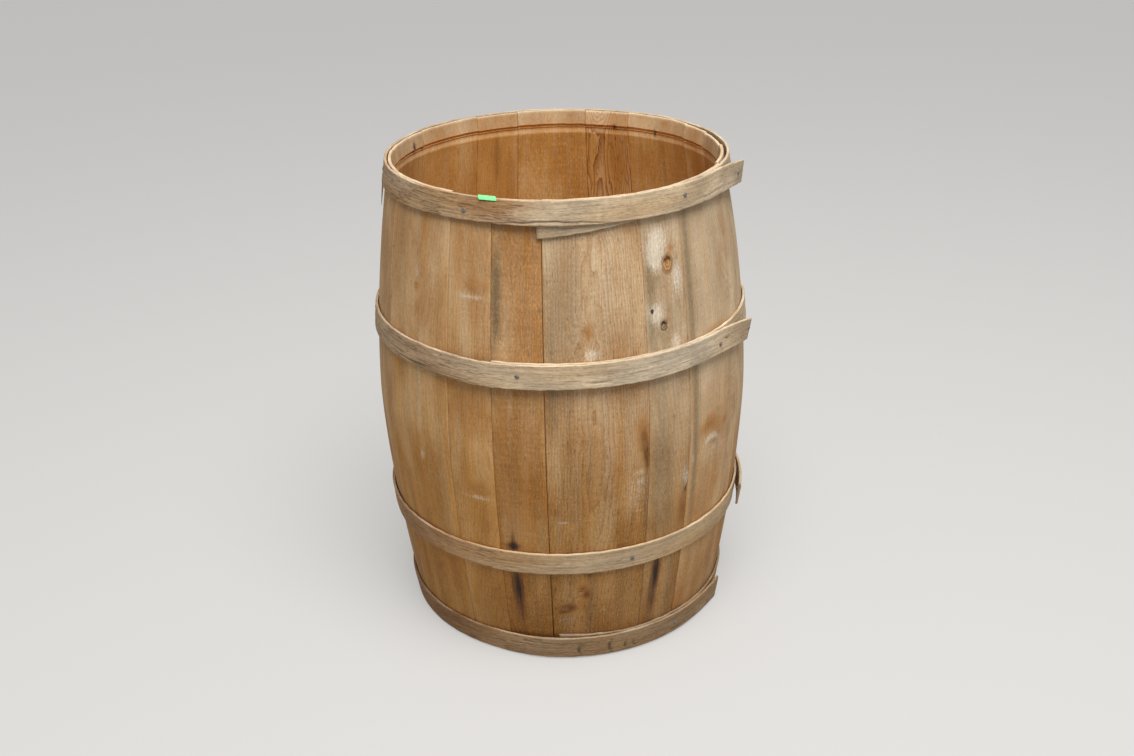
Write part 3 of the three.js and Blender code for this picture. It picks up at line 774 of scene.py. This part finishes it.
# From fresh honey colour to bleached, unevenly along the streaks and the fibres.
honey = mixed(between(cloud, 0.3, 0.7), "#BC8340", "#C7934F")
straw = mixed(between(cloud, 0.35, 0.65), "#C2A988", "#CFB896")
bleached = swayed(mark["bleached"], (streak, 0.9), (cloud, 0.6), (fibre, 0.5))
wood = mixed(share(bleached), honey, straw)
late_colour = mixed(between(mark["figure"], 0.7, 1.2), "#96602C", "#71351A")
wood = mixed(share(math("MULTIPLY", late_wood, mark["figure"]), 0.62), wood, late_colour)
wood = mixed(share(swayed(mark["warmth"], (stripe, 0.35)), 0.85), wood, "#A4662A")
resin = swayed(mark["orange"], (fibre, 1.1), (fuzz, 1.2))
wood = mixed(share(between(resin, 0.08, 0.6), 0.66), wood, "#AE7434")
wood = mixed(share(between(resin, 0.6, 1.3), 0.8), wood, "#7B4C1F")
# Grey weathering, partly painted shade where the grey and streak marks stand for it.
grey_weathering_and_shade = share(mark["grey"], between(fibre, 0.25, 0.65, 0.45, 1.15))
wood = mixed(share(grey_weathering_and_shade, 0.8), wood, "#8F7A59")
bare = swayed(mark["pale"], (fibre, 0.9), (fuzz, 0.5))
wood = mixed(share(between(bare, 0.08, 0.9), 0.9), wood, "#DECDB4")

# Light and shade too fine for the mesh: fibres, stripes, saw bars, and the fuzz of torn fibres.
bar_depth = math("MULTIPLY", mark["fuzz"], 0.22)
shade = swayed(1.0, (fibre, 0.45), (stripe, 0.3), (cloud, 0.35), (bars, bar_depth), (fuzz, 0.45))
tufts = math("MULTIPLY", between(fuzz, 0.54, 0.68), mark["fuzz"])
shade = math("MULTIPLY_ADD", tufts, 0.17, shade)
dashes = math("MULTIPLY", between(dash, 0.6, 0.72), math("MULTIPLY_ADD", mark["figure"], 0.9, 0.1))
shade = math("MULTIPLY_ADD", dashes, -0.4, shade)
wood = shaded(wood, math("ADD", shade, mark["bright"]))

# A knot: rings round its own centre, a dark rim, and a crack along its upper side.
x, y, _ = add("ShaderNodeSeparateXYZ", {0: attribute("knot_place", "Vector")}).outputs
off = math("SQRT", math("MULTIPLY_ADD", x, x, math("MULTIPLY", y, y)))
off = swayed(off, (fuzz, 0.5))
knot_rings = math("PINGPONG", math("MULTIPLY", off, 2.6), 0.5)
heart = mixed(between(knot_rings, 0.1, 0.4), "#9B6A38", "#CBA06A")
dark_heart = mixed(between(knot_rings, 0.15, 0.3), "#4A3A28", "#A8926C")
heart = mixed(between(mark["knot"], 1.0, 1.15), heart, dark_heart)
heart = mixed(between(mark["knot"], 1.2, 1.35), heart, "#33261B")
wood = mixed(share(share(between(off, 1.1, 0.85), mark["knot"]), 0.9), wood, heart)
rim = math("MULTIPLY", between(off, 0.72, 0.95), between(off, 1.3, 1.0))
crack = math("MULTIPLY", between(off, 0.3, 0.5), between(off, 0.85, 0.65))
crack = math("MULTIPLY", crack, between(y, 0.0, 0.4))
knot_line = share(math("MAXIMUM", math("MULTIPLY", rim, 0.42), crack), mark["knot"])
wood = mixed(knot_line, wood, "#3E2413")

# Iron and water stains: a reddish halo with a black heart.
stain = swayed(mark["dark"], (fibre, 0.8), (stripe, 0.7))
wood = mixed(share(between(stain, 0.02, 0.6), 0.55), wood, "#7A4A2B")
wood = mixed(share(between(stain, 0.18, 1.05), 0.92), wood, "#2A201B")

height = math("MULTIPLY_ADD", late_wood, 0.3, math("MULTIPLY_ADD", fuzz, 0.7, fibre))
height = math("SUBTRACT", height, math("MULTIPLY", knot_line, 0.8))
finish_surface(wood, between(fibre, 0.2, 0.8, 0.7, 0.88), height, 0.7, 0.6)
matt_wood()
print("softwood has", len(tree.nodes), "nodes")

# %% Make all the staves
triangles = 0
for number in range(len(STAVE_JOINTS) - 1):
    points, *places = stave_grid(number)
    node = "stave_%02d" % (number + 1)
    mesh = slab_mesh(node + "_wood", points, stave_attributes(number, *places))
    new_piece(node + "_wood", mesh, softwood, "stave_wood", node)
    triangles += 2 * len(mesh.polygons)
print("16 staves, about", triangles, "triangles")

# %% [markdown]
# ## Hoops
# A hoop is a strip split from a young ash or oak pole, soaked, bent once round and lapped over its
# own end. So its edges waver, its face is ridged along the grain, and its free end springs away
# from the staves. The strip is a slab carried round the barrel, on the path of its CAD solid.

# %% The hoops' paths
HOOP_THICKNESS = 4.5
HOOP_CLEARANCE = 0.5
LAP_GAP, LAP_RAMP, LAP_LEAD = 0.5, 26.0, 2.0
HOOP_COLUMNS = (
    "bottom", "top", "inner_end", "turn", "lap", "lift_top", "lift_bottom", "drop", "lift_run",
    "inner_shift", "inner_run",
)
HOOP_ROWS = {
    "top_hoop": (689.4, 724, -6.4, 1, 88, 17, 8, 12, 24, -18, 34),
    "bulge_hoop": (468.3, 505, -20, 1, 90, 13, 4, 13, 22, 0, 30),
    "lower_hoop": (164.5, 202.5, 171, -1, 99, 7, 7, 0, 30, 0, 30),
    "bottom_hoop": (1.5, 41.5, -3.1, 1, 70, 4, 5, 0, 16, 4.5, 30),
}
HOOPS = {name: dict(zip(HOOP_COLUMNS, row)) for name, row in HOOP_ROWS.items()}
HOOP_ROW_STEP = 4.0
HOOP_FACE_STEP = 1.5
HOOP_CORNER = 1.1


def hoop_surface(hoop, travelled, up, out):
    """A point of a strip: travelled is degrees from its inner end, up is 0 to 1 across it, out is
    mm from its inner face. Angle = inner end + turn * travelled; the radius climbs by a thickness
    over the lap and springs off with the square of how far the free end has come; the height sinks
    by drop there, and shifts near the inner end."""
    whole = 360 + hoop["lap"]
    on_lap = smoothstep(travelled, 360 - LAP_RAMP, 360 - LAP_LEAD)
    sprung = np.maximum(0, 1 - (whole - travelled) / hoop["lift_run"]) ** 2
    tucked = np.maximum(0, 1 - travelled / hoop["inner_run"])
    lift = (hoop["lift_bottom"] + (hoop["lift_top"] - hoop["lift_bottom"]) * up) * sprung
    level = hoop["bottom"] + (hoop["top"] - hoop["bottom"]) * up + hoop["inner_shift"] * tucked
    radius = barrel_radius(np.clip(level, 0, HEIGHT)) + HOOP_CLEARANCE + lift + out
    radius = radius + on_lap * (HOOP_THICKNESS + LAP_GAP)
    angle = hoop["inner_end"] + hoop["turn"] * travelled
    return around(angle, radius, level - hoop["drop"] * sprung)


for name, hoop in HOOPS.items():
    tip = hoop_surface(hoop, np.array(360.0 + hoop["lap"]), np.array(1.0), np.array(HOOP_THICKNESS))
    print(name, "free end's upper corner at", tip.round(0))

# %% [markdown]
# The marks of the hoops are written like those of the staves: the angle, the height above the
# hoop's lower edge, half length, half height and strength, and for a growth line also how many mm
# its middle bows to the left. Cracks are thin lines that run a long way with the grain, and they
# are cut into the mesh as well as darkened. Patches are whole stretches of another tone.

# %% The marks on the hoops
HOOP_TONES = {
    # weathering, warmth, brightness
    "top_hoop": (0.62, 0.06, 0),
    "bulge_hoop": (0.78, 0, 0.08),
    "lower_hoop": (0.36, 0.18, 0.13),
    # The bottom hoop is darker: partly its own dirt, partly painted shade, as it faces down.
    "bottom_hoop": (0.16, 0.44, -0.13),
}
# The left side stood away from the weather, and kept more of its brown. It is also a little
# darker there: painted shade.
BROWN_AND_SHADE_FROM, BROWN_AND_SHADE_UP_TO = 0, 45
HOOP_PATCHES = {
    # angle, half length, warmer, brighter
    "top_hoop": [(-19, 62, 0.42, -0.05), (47, 40, 0.1, -0.17)],
    "bulge_hoop": [(-48, 120, 0.25, 0), (-16, 40, 0, 0.06), (47, 50, -0.25, 0.04)],
    "lower_hoop": [(-62, 60, 0.2, -0.14), (-32, 80, 0.1, 0.19)],
    "bottom_hoop": [(-20, 60, 0, 0.16), (30, 110, 0, -0.06)],
}
HOOP_DARK = {
    "top_hoop": [(47, 15, 22, 11, 0.45), (-16, 15, 9, 3.5, 0.3), (20, 20, 30, 3, 0.25),
        (-70, 12, 50, 12, 0.2)],
    "bulge_hoop": [(-44, 6, 34, 5, 0.6), (-58, 10, 20, 8, 0.3), (-36, 3, 30, 3, 0.3),
        (55, 20, 6, 4, 0.5), (62, 8, 12, 6, 0.3)],
    "lower_hoop": [(11, 12, 8, 4, 0.3), (32, 24, 12, 3, 0.2), (6, 24, 9, 4, 0.2),
        (-64, 10, 60, 12, 0.2)],
    "bottom_hoop": [(-16, 10, 9, 12, 0.35), (-22, 8, 3, 12, 0.3), (42, 10, 5, 4, 0.4),
        (-2, 18, 4, 5, 0.35), (4.5, 17, 3.2, 13, 1, 5), (15, 18, 3.4, 15, 1.1, 6),
        (20.3, 14, 3, 11, 0.95, 4), (23.3, 15, 3, 9, 0.8, 4)],
}
HOOP_CRACKS = {
    # angle of the middle, height above the lower edge, half length, rise over it, depth
    "top_hoop": [(-3, 6.8, 92, -6.2, 0.75), (52, 8, 30, 3, 0.2), (140, 12, 90, 1, 0.5),
        (220, 20, 80, -1, 0.5)],
    "bulge_hoop": [(10, 9, 16, 0.5, 0.45), (3, 13, 14, 0.5, 0.35), (22, 15, 20, -1, 0.25),
        (55, 20, 7, 2.5, 0.9), (-50, 5, 40, 1, 0.4), (120, 14, 80, 1, 0.5), (250, 10, 70, -1, 0.5)],
    "lower_hoop": [(-20, 20, 40, -1, 0.2), (0, 12, 24, 0.5, 0.2), (180, 12, 70, 1, 0.5)],
    "bottom_hoop": [(0, 30, 60, -1.5, 0.3), (50, 24, 40, 2, 0.4), (-40, 22, 60, 1, 0.3),
        (200, 12, 70, 1, 0.5)],
}
WAVER_MM, FRAY_MM = 0.5, 0.28
RIDGE_MM, HOOP_SWELL_MM = 0.22, 0.4


def hoop_grid(name):
    """The strip's grid: along it goes the angle travelled, and round its section slab_section. The
    edges waver by up to a millimetre, the outer face has ridges along the grain, and cracks are
    grooves under a millimetre wide."""
    hoop = HOOPS[name]
    seed = 40 * (1 + list(HOOPS).index(name))
    width = hoop["top"] - hoop["bottom"]
    across, deep, out_across, out_deep = slab_section(int(round(width / HOOP_FACE_STEP)))
    whole = 360 + hoop["lap"]
    steps = int(round(np.radians(whole) * BULGE_RADIUS / HOOP_ROW_STEP))
    spread = np.degrees(HOOP_CORNER * np.array([0.0, 0.15, 0.5, 1.0]) / BULGE_RADIUS)
    travelled = np.concatenate([spread, np.linspace(1, whole - 1, steps), whole - spread[::-1]])
    travelled = travelled[:, None]
    from_tip = np.radians(np.minimum(travelled, whole - travelled)) * BULGE_RADIUS
    drawn = drawn_in(from_tip, HOOP_CORNER)
    along = np.radians(travelled) * BULGE_RADIUS + 0 * across
    corner = HOOP_CORNER - 0.3 * drawn
    up_mm = width / 2 - across * (width / 2 - HOOP_CORNER) - out_across * corner

    def edge_waves(low_seed, low_length, high_length):
        low, high = ((seed + low_seed, low_length), (seed + low_seed + 1, high_length))
        low, high = (waves(of, along, 0 * along, length, 1) for of, length in (low, high))
        return 1 + np.where(up_mm < width / 2, low, high)

    to_edge = np.abs(up_mm - width / 2) / (width / 2)
    worn_off = WAVER_MM * edge_waves(0, 130, 150) + FRAY_MM * edge_waves(2, 17, 21)
    up_mm = up_mm + np.sign(width / 2 - up_mm) * to_edge**2 * worn_off
    depth = slab_depth(deep, out_deep, HOOP_THICKNESS, HOOP_CORNER, drawn)
    outer = (1 - deep) * np.ones_like(depth)
    angle = hoop["inner_end"] + hoop["turn"] * travelled + 0 * across
    facing = (angle + 180) % 360 - 180
    ridges = RIDGE_MM * roughness_waves(seed + 4, along, up_mm, 120, 4.5)
    ridges = ridges + HOOP_SWELL_MM * roughness_waves(seed + 5, along, up_mm, 200, 22)
    crack, groove, dark, warmer, brighter = np.zeros((5, *depth.shape))
    for at, height, half_length, rise, cut in HOOP_CRACKS[name]:
        x = mm_beyond(facing, at) / half_length
        wander = 0.5 * waves(seed + int(height * 7), along, 0 * along, 30, 1)
        off_line = up_mm - (height + rise * x**2 + wander)
        here = np.exp(-(off_line**2) / 0.9) * (np.abs(x) < 1) * (1 - x**4)
        crack = np.maximum(crack, here * min(1.0, cut / 0.6))
        groove = groove + here * cut
    for at, height, half_length, half_height, amount, *bow in HOOP_DARK[name]:
        y = (up_mm - height) / half_height
        x = (mm_beyond(facing, at) + sum(bow) * (1 - y**2)) / half_length
        dark = dark + amount * np.exp(-(x**2) - y**2)
    for at, half_length, warm_amount, bright_amount in HOOP_PATCHES[name]:
        here = np.exp(-((mm_beyond(facing, at) / half_length) ** 2))
        warmer, brighter = warmer + warm_amount * here, brighter + bright_amount * here
    # The first turn of the lap is hidden under the second, so it has no marks of its own.
    on_top = smoothstep(travelled, hoop["lap"] - 6, hoop["lap"]) + 0 * across
    crack, groove, dark = crack * on_top, groove * on_top, dark * on_top
    relief = (ridges + groove) * outer - 0.3 * ridges * (1 - outer)
    out = HOOP_THICKNESS - depth - relief
    points = hoop_surface(hoop, travelled + 0 * across, up_mm / width, out)
    # Pale rubbed edges, stronger on the upper one, where it is partly a painted highlight.
    worn_edge_and_highlight = np.exp(-(((width - up_mm) / 1.5) ** 2)) + 0.6 * np.exp(-((up_mm / 1.4) ** 2))
    weather, warmth, bright = HOOP_TONES[name]
    brown_and_shade_sines = np.sin(np.radians([BROWN_AND_SHADE_FROM, BROWN_AND_SHADE_UP_TO]))
    brown_and_shade = smoothstep(-np.sin(np.radians(facing)), *brown_and_shade_sines)
    tip_shade = 0.35 * (1 - smoothstep(from_tip, 0.3, 2.2))
    offset = np.array([0.71, 0.43, 0.29]) * (seed / 40)
    return points, {
        "grain": np.stack([up_mm * MM, along * MM, depth * MM], -1) + offset,
        "weather": weather - 0.42 * brown_and_shade - warmer + 0.2 * waves(seed + 6, along, up_mm, 240, 60),
        "warmth": warmth + 0.46 * brown_and_shade + warmer + 0.1 * waves(seed + 7, along, up_mm, 160, 60),
        # The left side is also a little darker: painted shade.
        "bright": bright - 0.08 * brown_and_shade + brighter - tip_shade,
        "worn_edge_and_highlight": np.clip(worn_edge_and_highlight, 0, 1) * (0.6 + 0.4 * waves(seed + 8, along, 0 * along, 60, 1)),
        "dark": dark * outer,
        "crack": crack * outer,
    }


points, _ = hoop_grid("top_hoop")
print("a hoop's grid has %d x %d points" % points.shape[:2])

# %% [markdown]
# ## Split hardwood
# The hoops are split, not sawn, so the surface follows the fibres: long ridges, open pores drawn
# out to dark dashes, and hairline cracks. Out of doors this goes from tan to silver, and the edges,
# which hands and floors rub, stay pale. Along the upper edge that paleness is partly a painted
# highlight.

# %% The material of the hoops
hardwood, tree, shader = new_material("split_ash_strip")
mark = {name: attribute(name) for name in ("weather", "warmth", "bright", "worn_edge_and_highlight", "dark", "crack")}
fibre, band, cloud, pores, speck = noise_fields(
    attribute("grain", "Vector"),
    (1.9, 24, 3.0, 0.6), (5, 260, 2.0, 0.5), (34, 60, 2.0, 0.5),
    (1.4, 13, 1.0, 0.5), (2.4, 6, 2.0, 0.6),
)
tan = mixed(between(band, 0.3, 0.7), "#B59468", "#C6A87E")
tan = mixed(share(mark["warmth"], 0.9), tan, "#9C6F47")
silver = mixed(between(cloud, 0.3, 0.7), "#AE9F8A", "#C6B59A")
strip = mixed(share(swayed(mark["weather"], (fibre, 0.5)), 0.9), tan, silver)
growth = math("PINGPONG", math("MULTIPLY_ADD", band, 5.0, math("MULTIPLY", cloud, 3.0)), 0.5)
growth = math("MULTIPLY", between(growth, 0.32, 0.5), between(mark["warmth"], 0.15, 0.5, 0.2, 0.75))
strip = mixed(growth, strip, "#755233")
# Pale worn edges; along the upper edge partly a painted highlight.
strip = mixed(share(mark["worn_edge_and_highlight"], 0.42), strip, "#DCCBB0")
shade = swayed(1.0, (fibre, 0.4), (cloud, 0.4), (speck, 0.65))
strip = shaded(strip, math("ADD", shade, mark["bright"]))
pore_share = math("MULTIPLY", between(pores, 0.6, 0.74), 0.4)
strip = mixed(pore_share, strip, "#6B5038")
line_share = share(mark["crack"], 0.9)
strip = mixed(line_share, strip, "#3A2C20")
dirt = swayed(mark["dark"], (fibre, 0.9))
strip = mixed(share(between(dirt, 0.1, 1.0), 0.8), strip, "#4D4231")
hollows = math("MULTIPLY", math("MAXIMUM", line_share, pore_share), 0.8)
height = math("SUBTRACT", math("MULTIPLY_ADD", band, 0.8, fibre), hollows)
finish_surface(strip, between(fibre, 0.2, 0.8, 0.7, 0.88), height, 0.7, 0.7)
matt_wood()
print("hardwood has", len(tree.nodes), "nodes")

# %% Make the hoops
for name in HOOPS:
    points, attributes = hoop_grid(name)
    mesh = slab_mesh(name + "_strip", points, attributes)
    new_piece(name + "_strip", mesh, hardwood, "hoop_wood", name)
    print(name, 2 * len(mesh.polygons), "triangles")

# %% [markdown]
# One splinter has come off the lower edge of the top hoop at the left, and hangs beside the staves.
# It is a short slab that narrows to a point and leans away from the hoop.

# %% Make the splinter
SPLINTER_ANGLE, SPLINTER_SWING = -84.0, 1.6
SPLINTER_TOP, SPLINTER_TIP = 696.0, 655.0
SPLINTER_WIDTH, SPLINTER_THICKNESS = 11.0, 3.0
SPLINTER_OUT, SPLINTER_BACK = 3.9, 1.6
across, deep, out_across, out_deep = slab_section(6)
along = np.linspace(0, 1, 30)[:, None]
z = SPLINTER_TOP + (SPLINTER_TIP - SPLINTER_TOP) * along + 0 * across
narrowing = 1 - 0.75 * along**1.5
corner = 0.5 * narrowing
s = across * (SPLINTER_WIDTH / 2 * narrowing - corner) + out_across * corner
depth = slab_depth(deep, out_deep, SPLINTER_THICKNESS * narrowing, corner)
radius = barrel_radius(z) + HOOP_CLEARANCE + SPLINTER_OUT - SPLINTER_BACK * along**1.5 - depth
angle = SPLINTER_ANGLE + SPLINTER_SWING * along + np.degrees(s / barrel_radius(z))
points = around(angle, radius, z)
attributes = {"weather": 0.5, "warmth": 0.2, "bright": -0.12, "worn_edge_and_highlight": 0, "dark": 0.2, "crack": 0}
attributes = {key: value + 0 * z for key, value in attributes.items()}
grain = np.stack([s, z, depth], -1) * MM
mesh = slab_mesh("top_hoop_splinter", points, {"grain": grain, **attributes})
new_piece("top_hoop_splinter", mesh, hardwood, "hoop_wood")
print("a splinter of %.0f mm" % (SPLINTER_TOP - SPLINTER_TIP))

# %% [markdown]
# ## Nails
# Small wire nails hold the hoops. Each head is a thin disc with a crowned face that a hammer has
# flattened, and rain has turned it grey with a little rust. A head is a profile turned round the
# nail's own axis, which stands square on the strip.

# %% Make the nails
NAIL_TURNS = 24
# Radius and height over the strip, from the point to the crown.
NAIL_PROFILE = np.array(
    [(0.0, -9.0), (0.9, -7.0), (1.3, -6.0), (1.3, -0.1), (3.0, -0.1), (3.2, 0.1), (3.2, 0.4),
     (3.0, 0.65), (2.2, 0.9), (1.2, 1.0), (0.0, 1.12)]
)
NAIL_DENT_MM = 0.12
# Angle and height of each nail.
NAILS = {
    "top_hoop": [(-89, 701), (-28.9, 703.6), (40.9, 708.6), (76.1, 699.3), (139, 703), (200, 705),
        (243, 703)],
    "bulge_hoop": [(-88, 487), (-12.1, 487.6), (51.4, 483.4), (69, 476.6), (128, 488), (190, 485),
        (232, 486)],
    "lower_hoop": [(20.3, 181.4), (76, 184), (113, 183), (160, 186), (218, 182), (261, 184)],
    "bottom_hoop": [(40.3, 19.3), (100, 16), (158, 18), (205, 16), (256, 17)],
}


def nail_mesh(name, centre, outward, seed):
    """The profile's radius times (cos, sin) round the axis, its height along the axis; the crown
    is dented by a plane wave."""
    random = np.random.default_rng(seed)
    turn = np.linspace(0, 2 * np.pi, NAIL_TURNS, endpoint=False)
    radius, up = NAIL_PROFILE[1:-1, :1], NAIL_PROFILE[1:-1, 1:]
    uneven = 1 + 0.03 * np.cos(2 * turn + random.uniform(0, 6))
    uneven = uneven + 0.02 * np.cos(3 * turn + random.uniform(0, 6))
    x, y = radius * np.cos(turn) * uneven, radius * np.sin(turn) * uneven
    dent = np.cos(x * random.uniform(0.4, 0.9) + y * random.uniform(-0.9, 0.9))
    ring = np.stack([x, y, up + NAIL_DENT_MM * (up > 0.5) * dent], -1).reshape(-1, 3)
    local = np.vstack([[0, 0, NAIL_PROFILE[0, 1]], ring, [0, 0, NAIL_PROFILE[-1, 1]]])
    side = np.cross(outward, [0.0, 0.0, 1.0])
    side = side / np.linalg.norm(side)
    xyz = centre + local @ np.stack([side, np.cross(side, outward), outward])
    rows = len(NAIL_PROFILE) - 2
    index = 1 + np.arange(rows * NAIL_TURNS).reshape(rows, NAIL_TURNS)
    after = np.roll(index, -1, axis=1)
    quads = np.stack([index[:-1], after[:-1], after[1:], index[1:]], -1).reshape(-1, 4)
    foot = np.stack([np.zeros(NAIL_TURNS, int), after[0], index[0]], -1)
    crown = np.stack([np.full(NAIL_TURNS, len(local) - 1), index[-1], after[-1]], -1)
    mesh = bpy.data.meshes.new(name)
    mesh.from_pydata((xyz * MM).tolist(), [], [*quads.tolist(), *foot.tolist(), *crown.tolist()])
    mesh.polygons.foreach_set("use_smooth", np.ones(len(mesh.polygons), bool))
    return mesh


def nail_seat(hoop, at, height):
    """The point on the strip's outer face at an angle and a height, and the direction out of it.
    The place across the strip is found by a few steps of correction."""
    width = hoop["top"] - hoop["bottom"]
    travelled = hoop["turn"] * (at - hoop["inner_end"]) % 360
    if travelled + 360 <= 360 + hoop["lap"]:
        travelled += 360

    def face(t, u):
        return hoop_surface(hoop, np.array(t), np.array(u), HOOP_THICKNESS)

    up = (height - hoop["bottom"]) / width
    for _ in range(4):
        up += (height - face(travelled, up)[2]) / width
    centre = face(travelled, up)
    ahead = face(travelled + 0.3, up) - face(travelled - 0.3, up)
    outward = hoop["turn"] * np.cross(ahead, face(travelled, up + 0.03) - centre)
    return centre, outward / np.linalg.norm(outward)


steel, tree, shader = new_material("rusted_wire_nail_steel")
rust, pits = noise_fields(object_place(), (2.2, 2.2, 3.0, 0.6), (0.7, 0.7, 2.0, 0.6))
skin = mixed(between(rust, 0.45, 0.65), "#85817C", "#5A4737")
tree.links.new(between(rust, 0.45, 0.65, 0.6, 0.1), shader.inputs["Metallic"])
finish_surface(skin, between(rust, 0.4, 0.65, 0.42, 0.85), pits, 0.4, 0.15)

for hoop_name, seats in NAILS.items():
    for number, (at, height) in enumerate(seats):
        centre, outward = nail_seat(HOOPS[hoop_name], at, height)
        node = "%s_nail_%d" % (hoop_name, number + 1)
        seed = 900 + number + int(height)
        mesh = nail_mesh(node + "_head", centre - 0.1 * outward, outward, seed)
        new_piece(node + "_head", mesh, steel, "nail_steel", node)
print(sum(map(len, NAILS.values())), "nails")

# %% [markdown]
# ## The paper tag
# A blank sticker lies on the rim, and droops a little over the hoop's edge. It is a sheet of bright
# paper: a function of one parameter along the barrel's edge and one across the rim, with its
# thickness added on the way back.

# %% Make the tag
TAG_ANGLES, TAG_TRIM, TAG_SKEW = (-24.9, -17.9), 1.4, 1.2
# Radius and height of the paper's upper face, from its inner edge to its outer one.
TAG_PATH = np.array(
    [(246.2, 724.2), (248.0, 724.7), (250.5, 724.7), (252.8, 724.0), (254.4, 722.6), (255.2, 721.0)]
)
PAPER_THICKNESS = 0.3
tag_paper, tree, shader = new_material("dyed_sticker_paper")
(mottle,) = noise_fields(object_place(), (3, 3, 2.0, 0.5))
dye = mixed(between(mottle, 0.3, 0.7), "#6FE583", "#86F094")
finish_surface(dye, 0.55, mottle, 0.2, 0.1)

across, deep, out_across, out_deep = slab_section(16)
along = np.linspace(0, 1, 25)[:, None]
path_length = np.concatenate([[0], np.cumsum(np.hypot(*np.diff(TAG_PATH, axis=0).T))])
radius, z = (np.interp(along * path_length[-1], path_length, column) for column in TAG_PATH.T)
slope = np.gradient(z.ravel()) / np.gradient(radius.ravel())
normal = np.stack([-slope, np.ones_like(slope)], -1) / np.hypot(slope, 1)[:, None]
lift = (deep - 1) * PAPER_THICKNESS * np.ones_like(along)
sideways = (across * 0.98 + 0.02 * out_across) * (TAG_ANGLES[1] - TAG_ANGLES[0] - TAG_TRIM) / 2
tag_angle = sum(TAG_ANGLES) / 2 + TAG_SKEW * (along - 0.5) + sideways
points = around(tag_angle, radius + normal[:, :1] * lift, z + normal[:, 1:] * lift)
mesh = slab_mesh("blank_tag_paper", points, {})
new_piece("blank_tag_paper", mesh, tag_paper, "tag_paper", "blank_tag")
print("the tag has", len(mesh.polygons), "faces")

# %% [markdown]
# ## The bottom head
# Three boards close the foot. Their CAD solids have the right shape, so they stay, and only get
# wood: the same softwood, but read from object coordinates, with the grain along the boards.

# %% The material of the bottom head
# How bright each board is, and how far apart in the wood the boards were cut, in metres.
BOARD_SHADES = {1: 0.82, 2: 0.76, 3: 0.86}
BOARD_OFFSET_M = np.array([0.31, 0.53, 0.17])
for number, board_shade in BOARD_SHADES.items():
    board_wood, tree, shader = new_material("planed_softwood_board_%d" % number)
    turned = {"Location": tuple(BOARD_OFFSET_M * number), "Rotation": (0, 0, np.pi / 2)}
    place = add("ShaderNodeMapping", {"Vector": object_place(), **turned}).outputs[0]
    fibre, streak, cloud = noise_fields(
        place, (1.0, 40, 3.0, 0.5), (9, 700, 2.0, 0.5), (70, 160, 2.0, 0.5)
    )
    rings = math("FRACT", math("MULTIPLY_ADD", streak, 5.0, math("MULTIPLY", fibre, 0.3)))
    board = mixed(between(cloud, 0.3, 0.7, kind="LINEAR"), "#A67B4A", "#B58D5C")
    board = mixed(math("MULTIPLY", math("POWER", rings, 3.0), 0.4), board, "#7C5129")
    fibre_shade = between(fibre, 0.2, 0.8, kind="LINEAR")
    board = shaded(board, math("MULTIPLY_ADD", fibre_shade, 0.3, board_shade))
    finish_surface(board, between(fibre, 0.2, 0.8, 0.62, 0.82, "LINEAR"), fibre, 0.4, 0.3)
    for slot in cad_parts["bottom_head_board_%d" % number].material_slots:
        slot.material = board_wood
print(len(BOARD_SHADES), "boards of planed softwood")
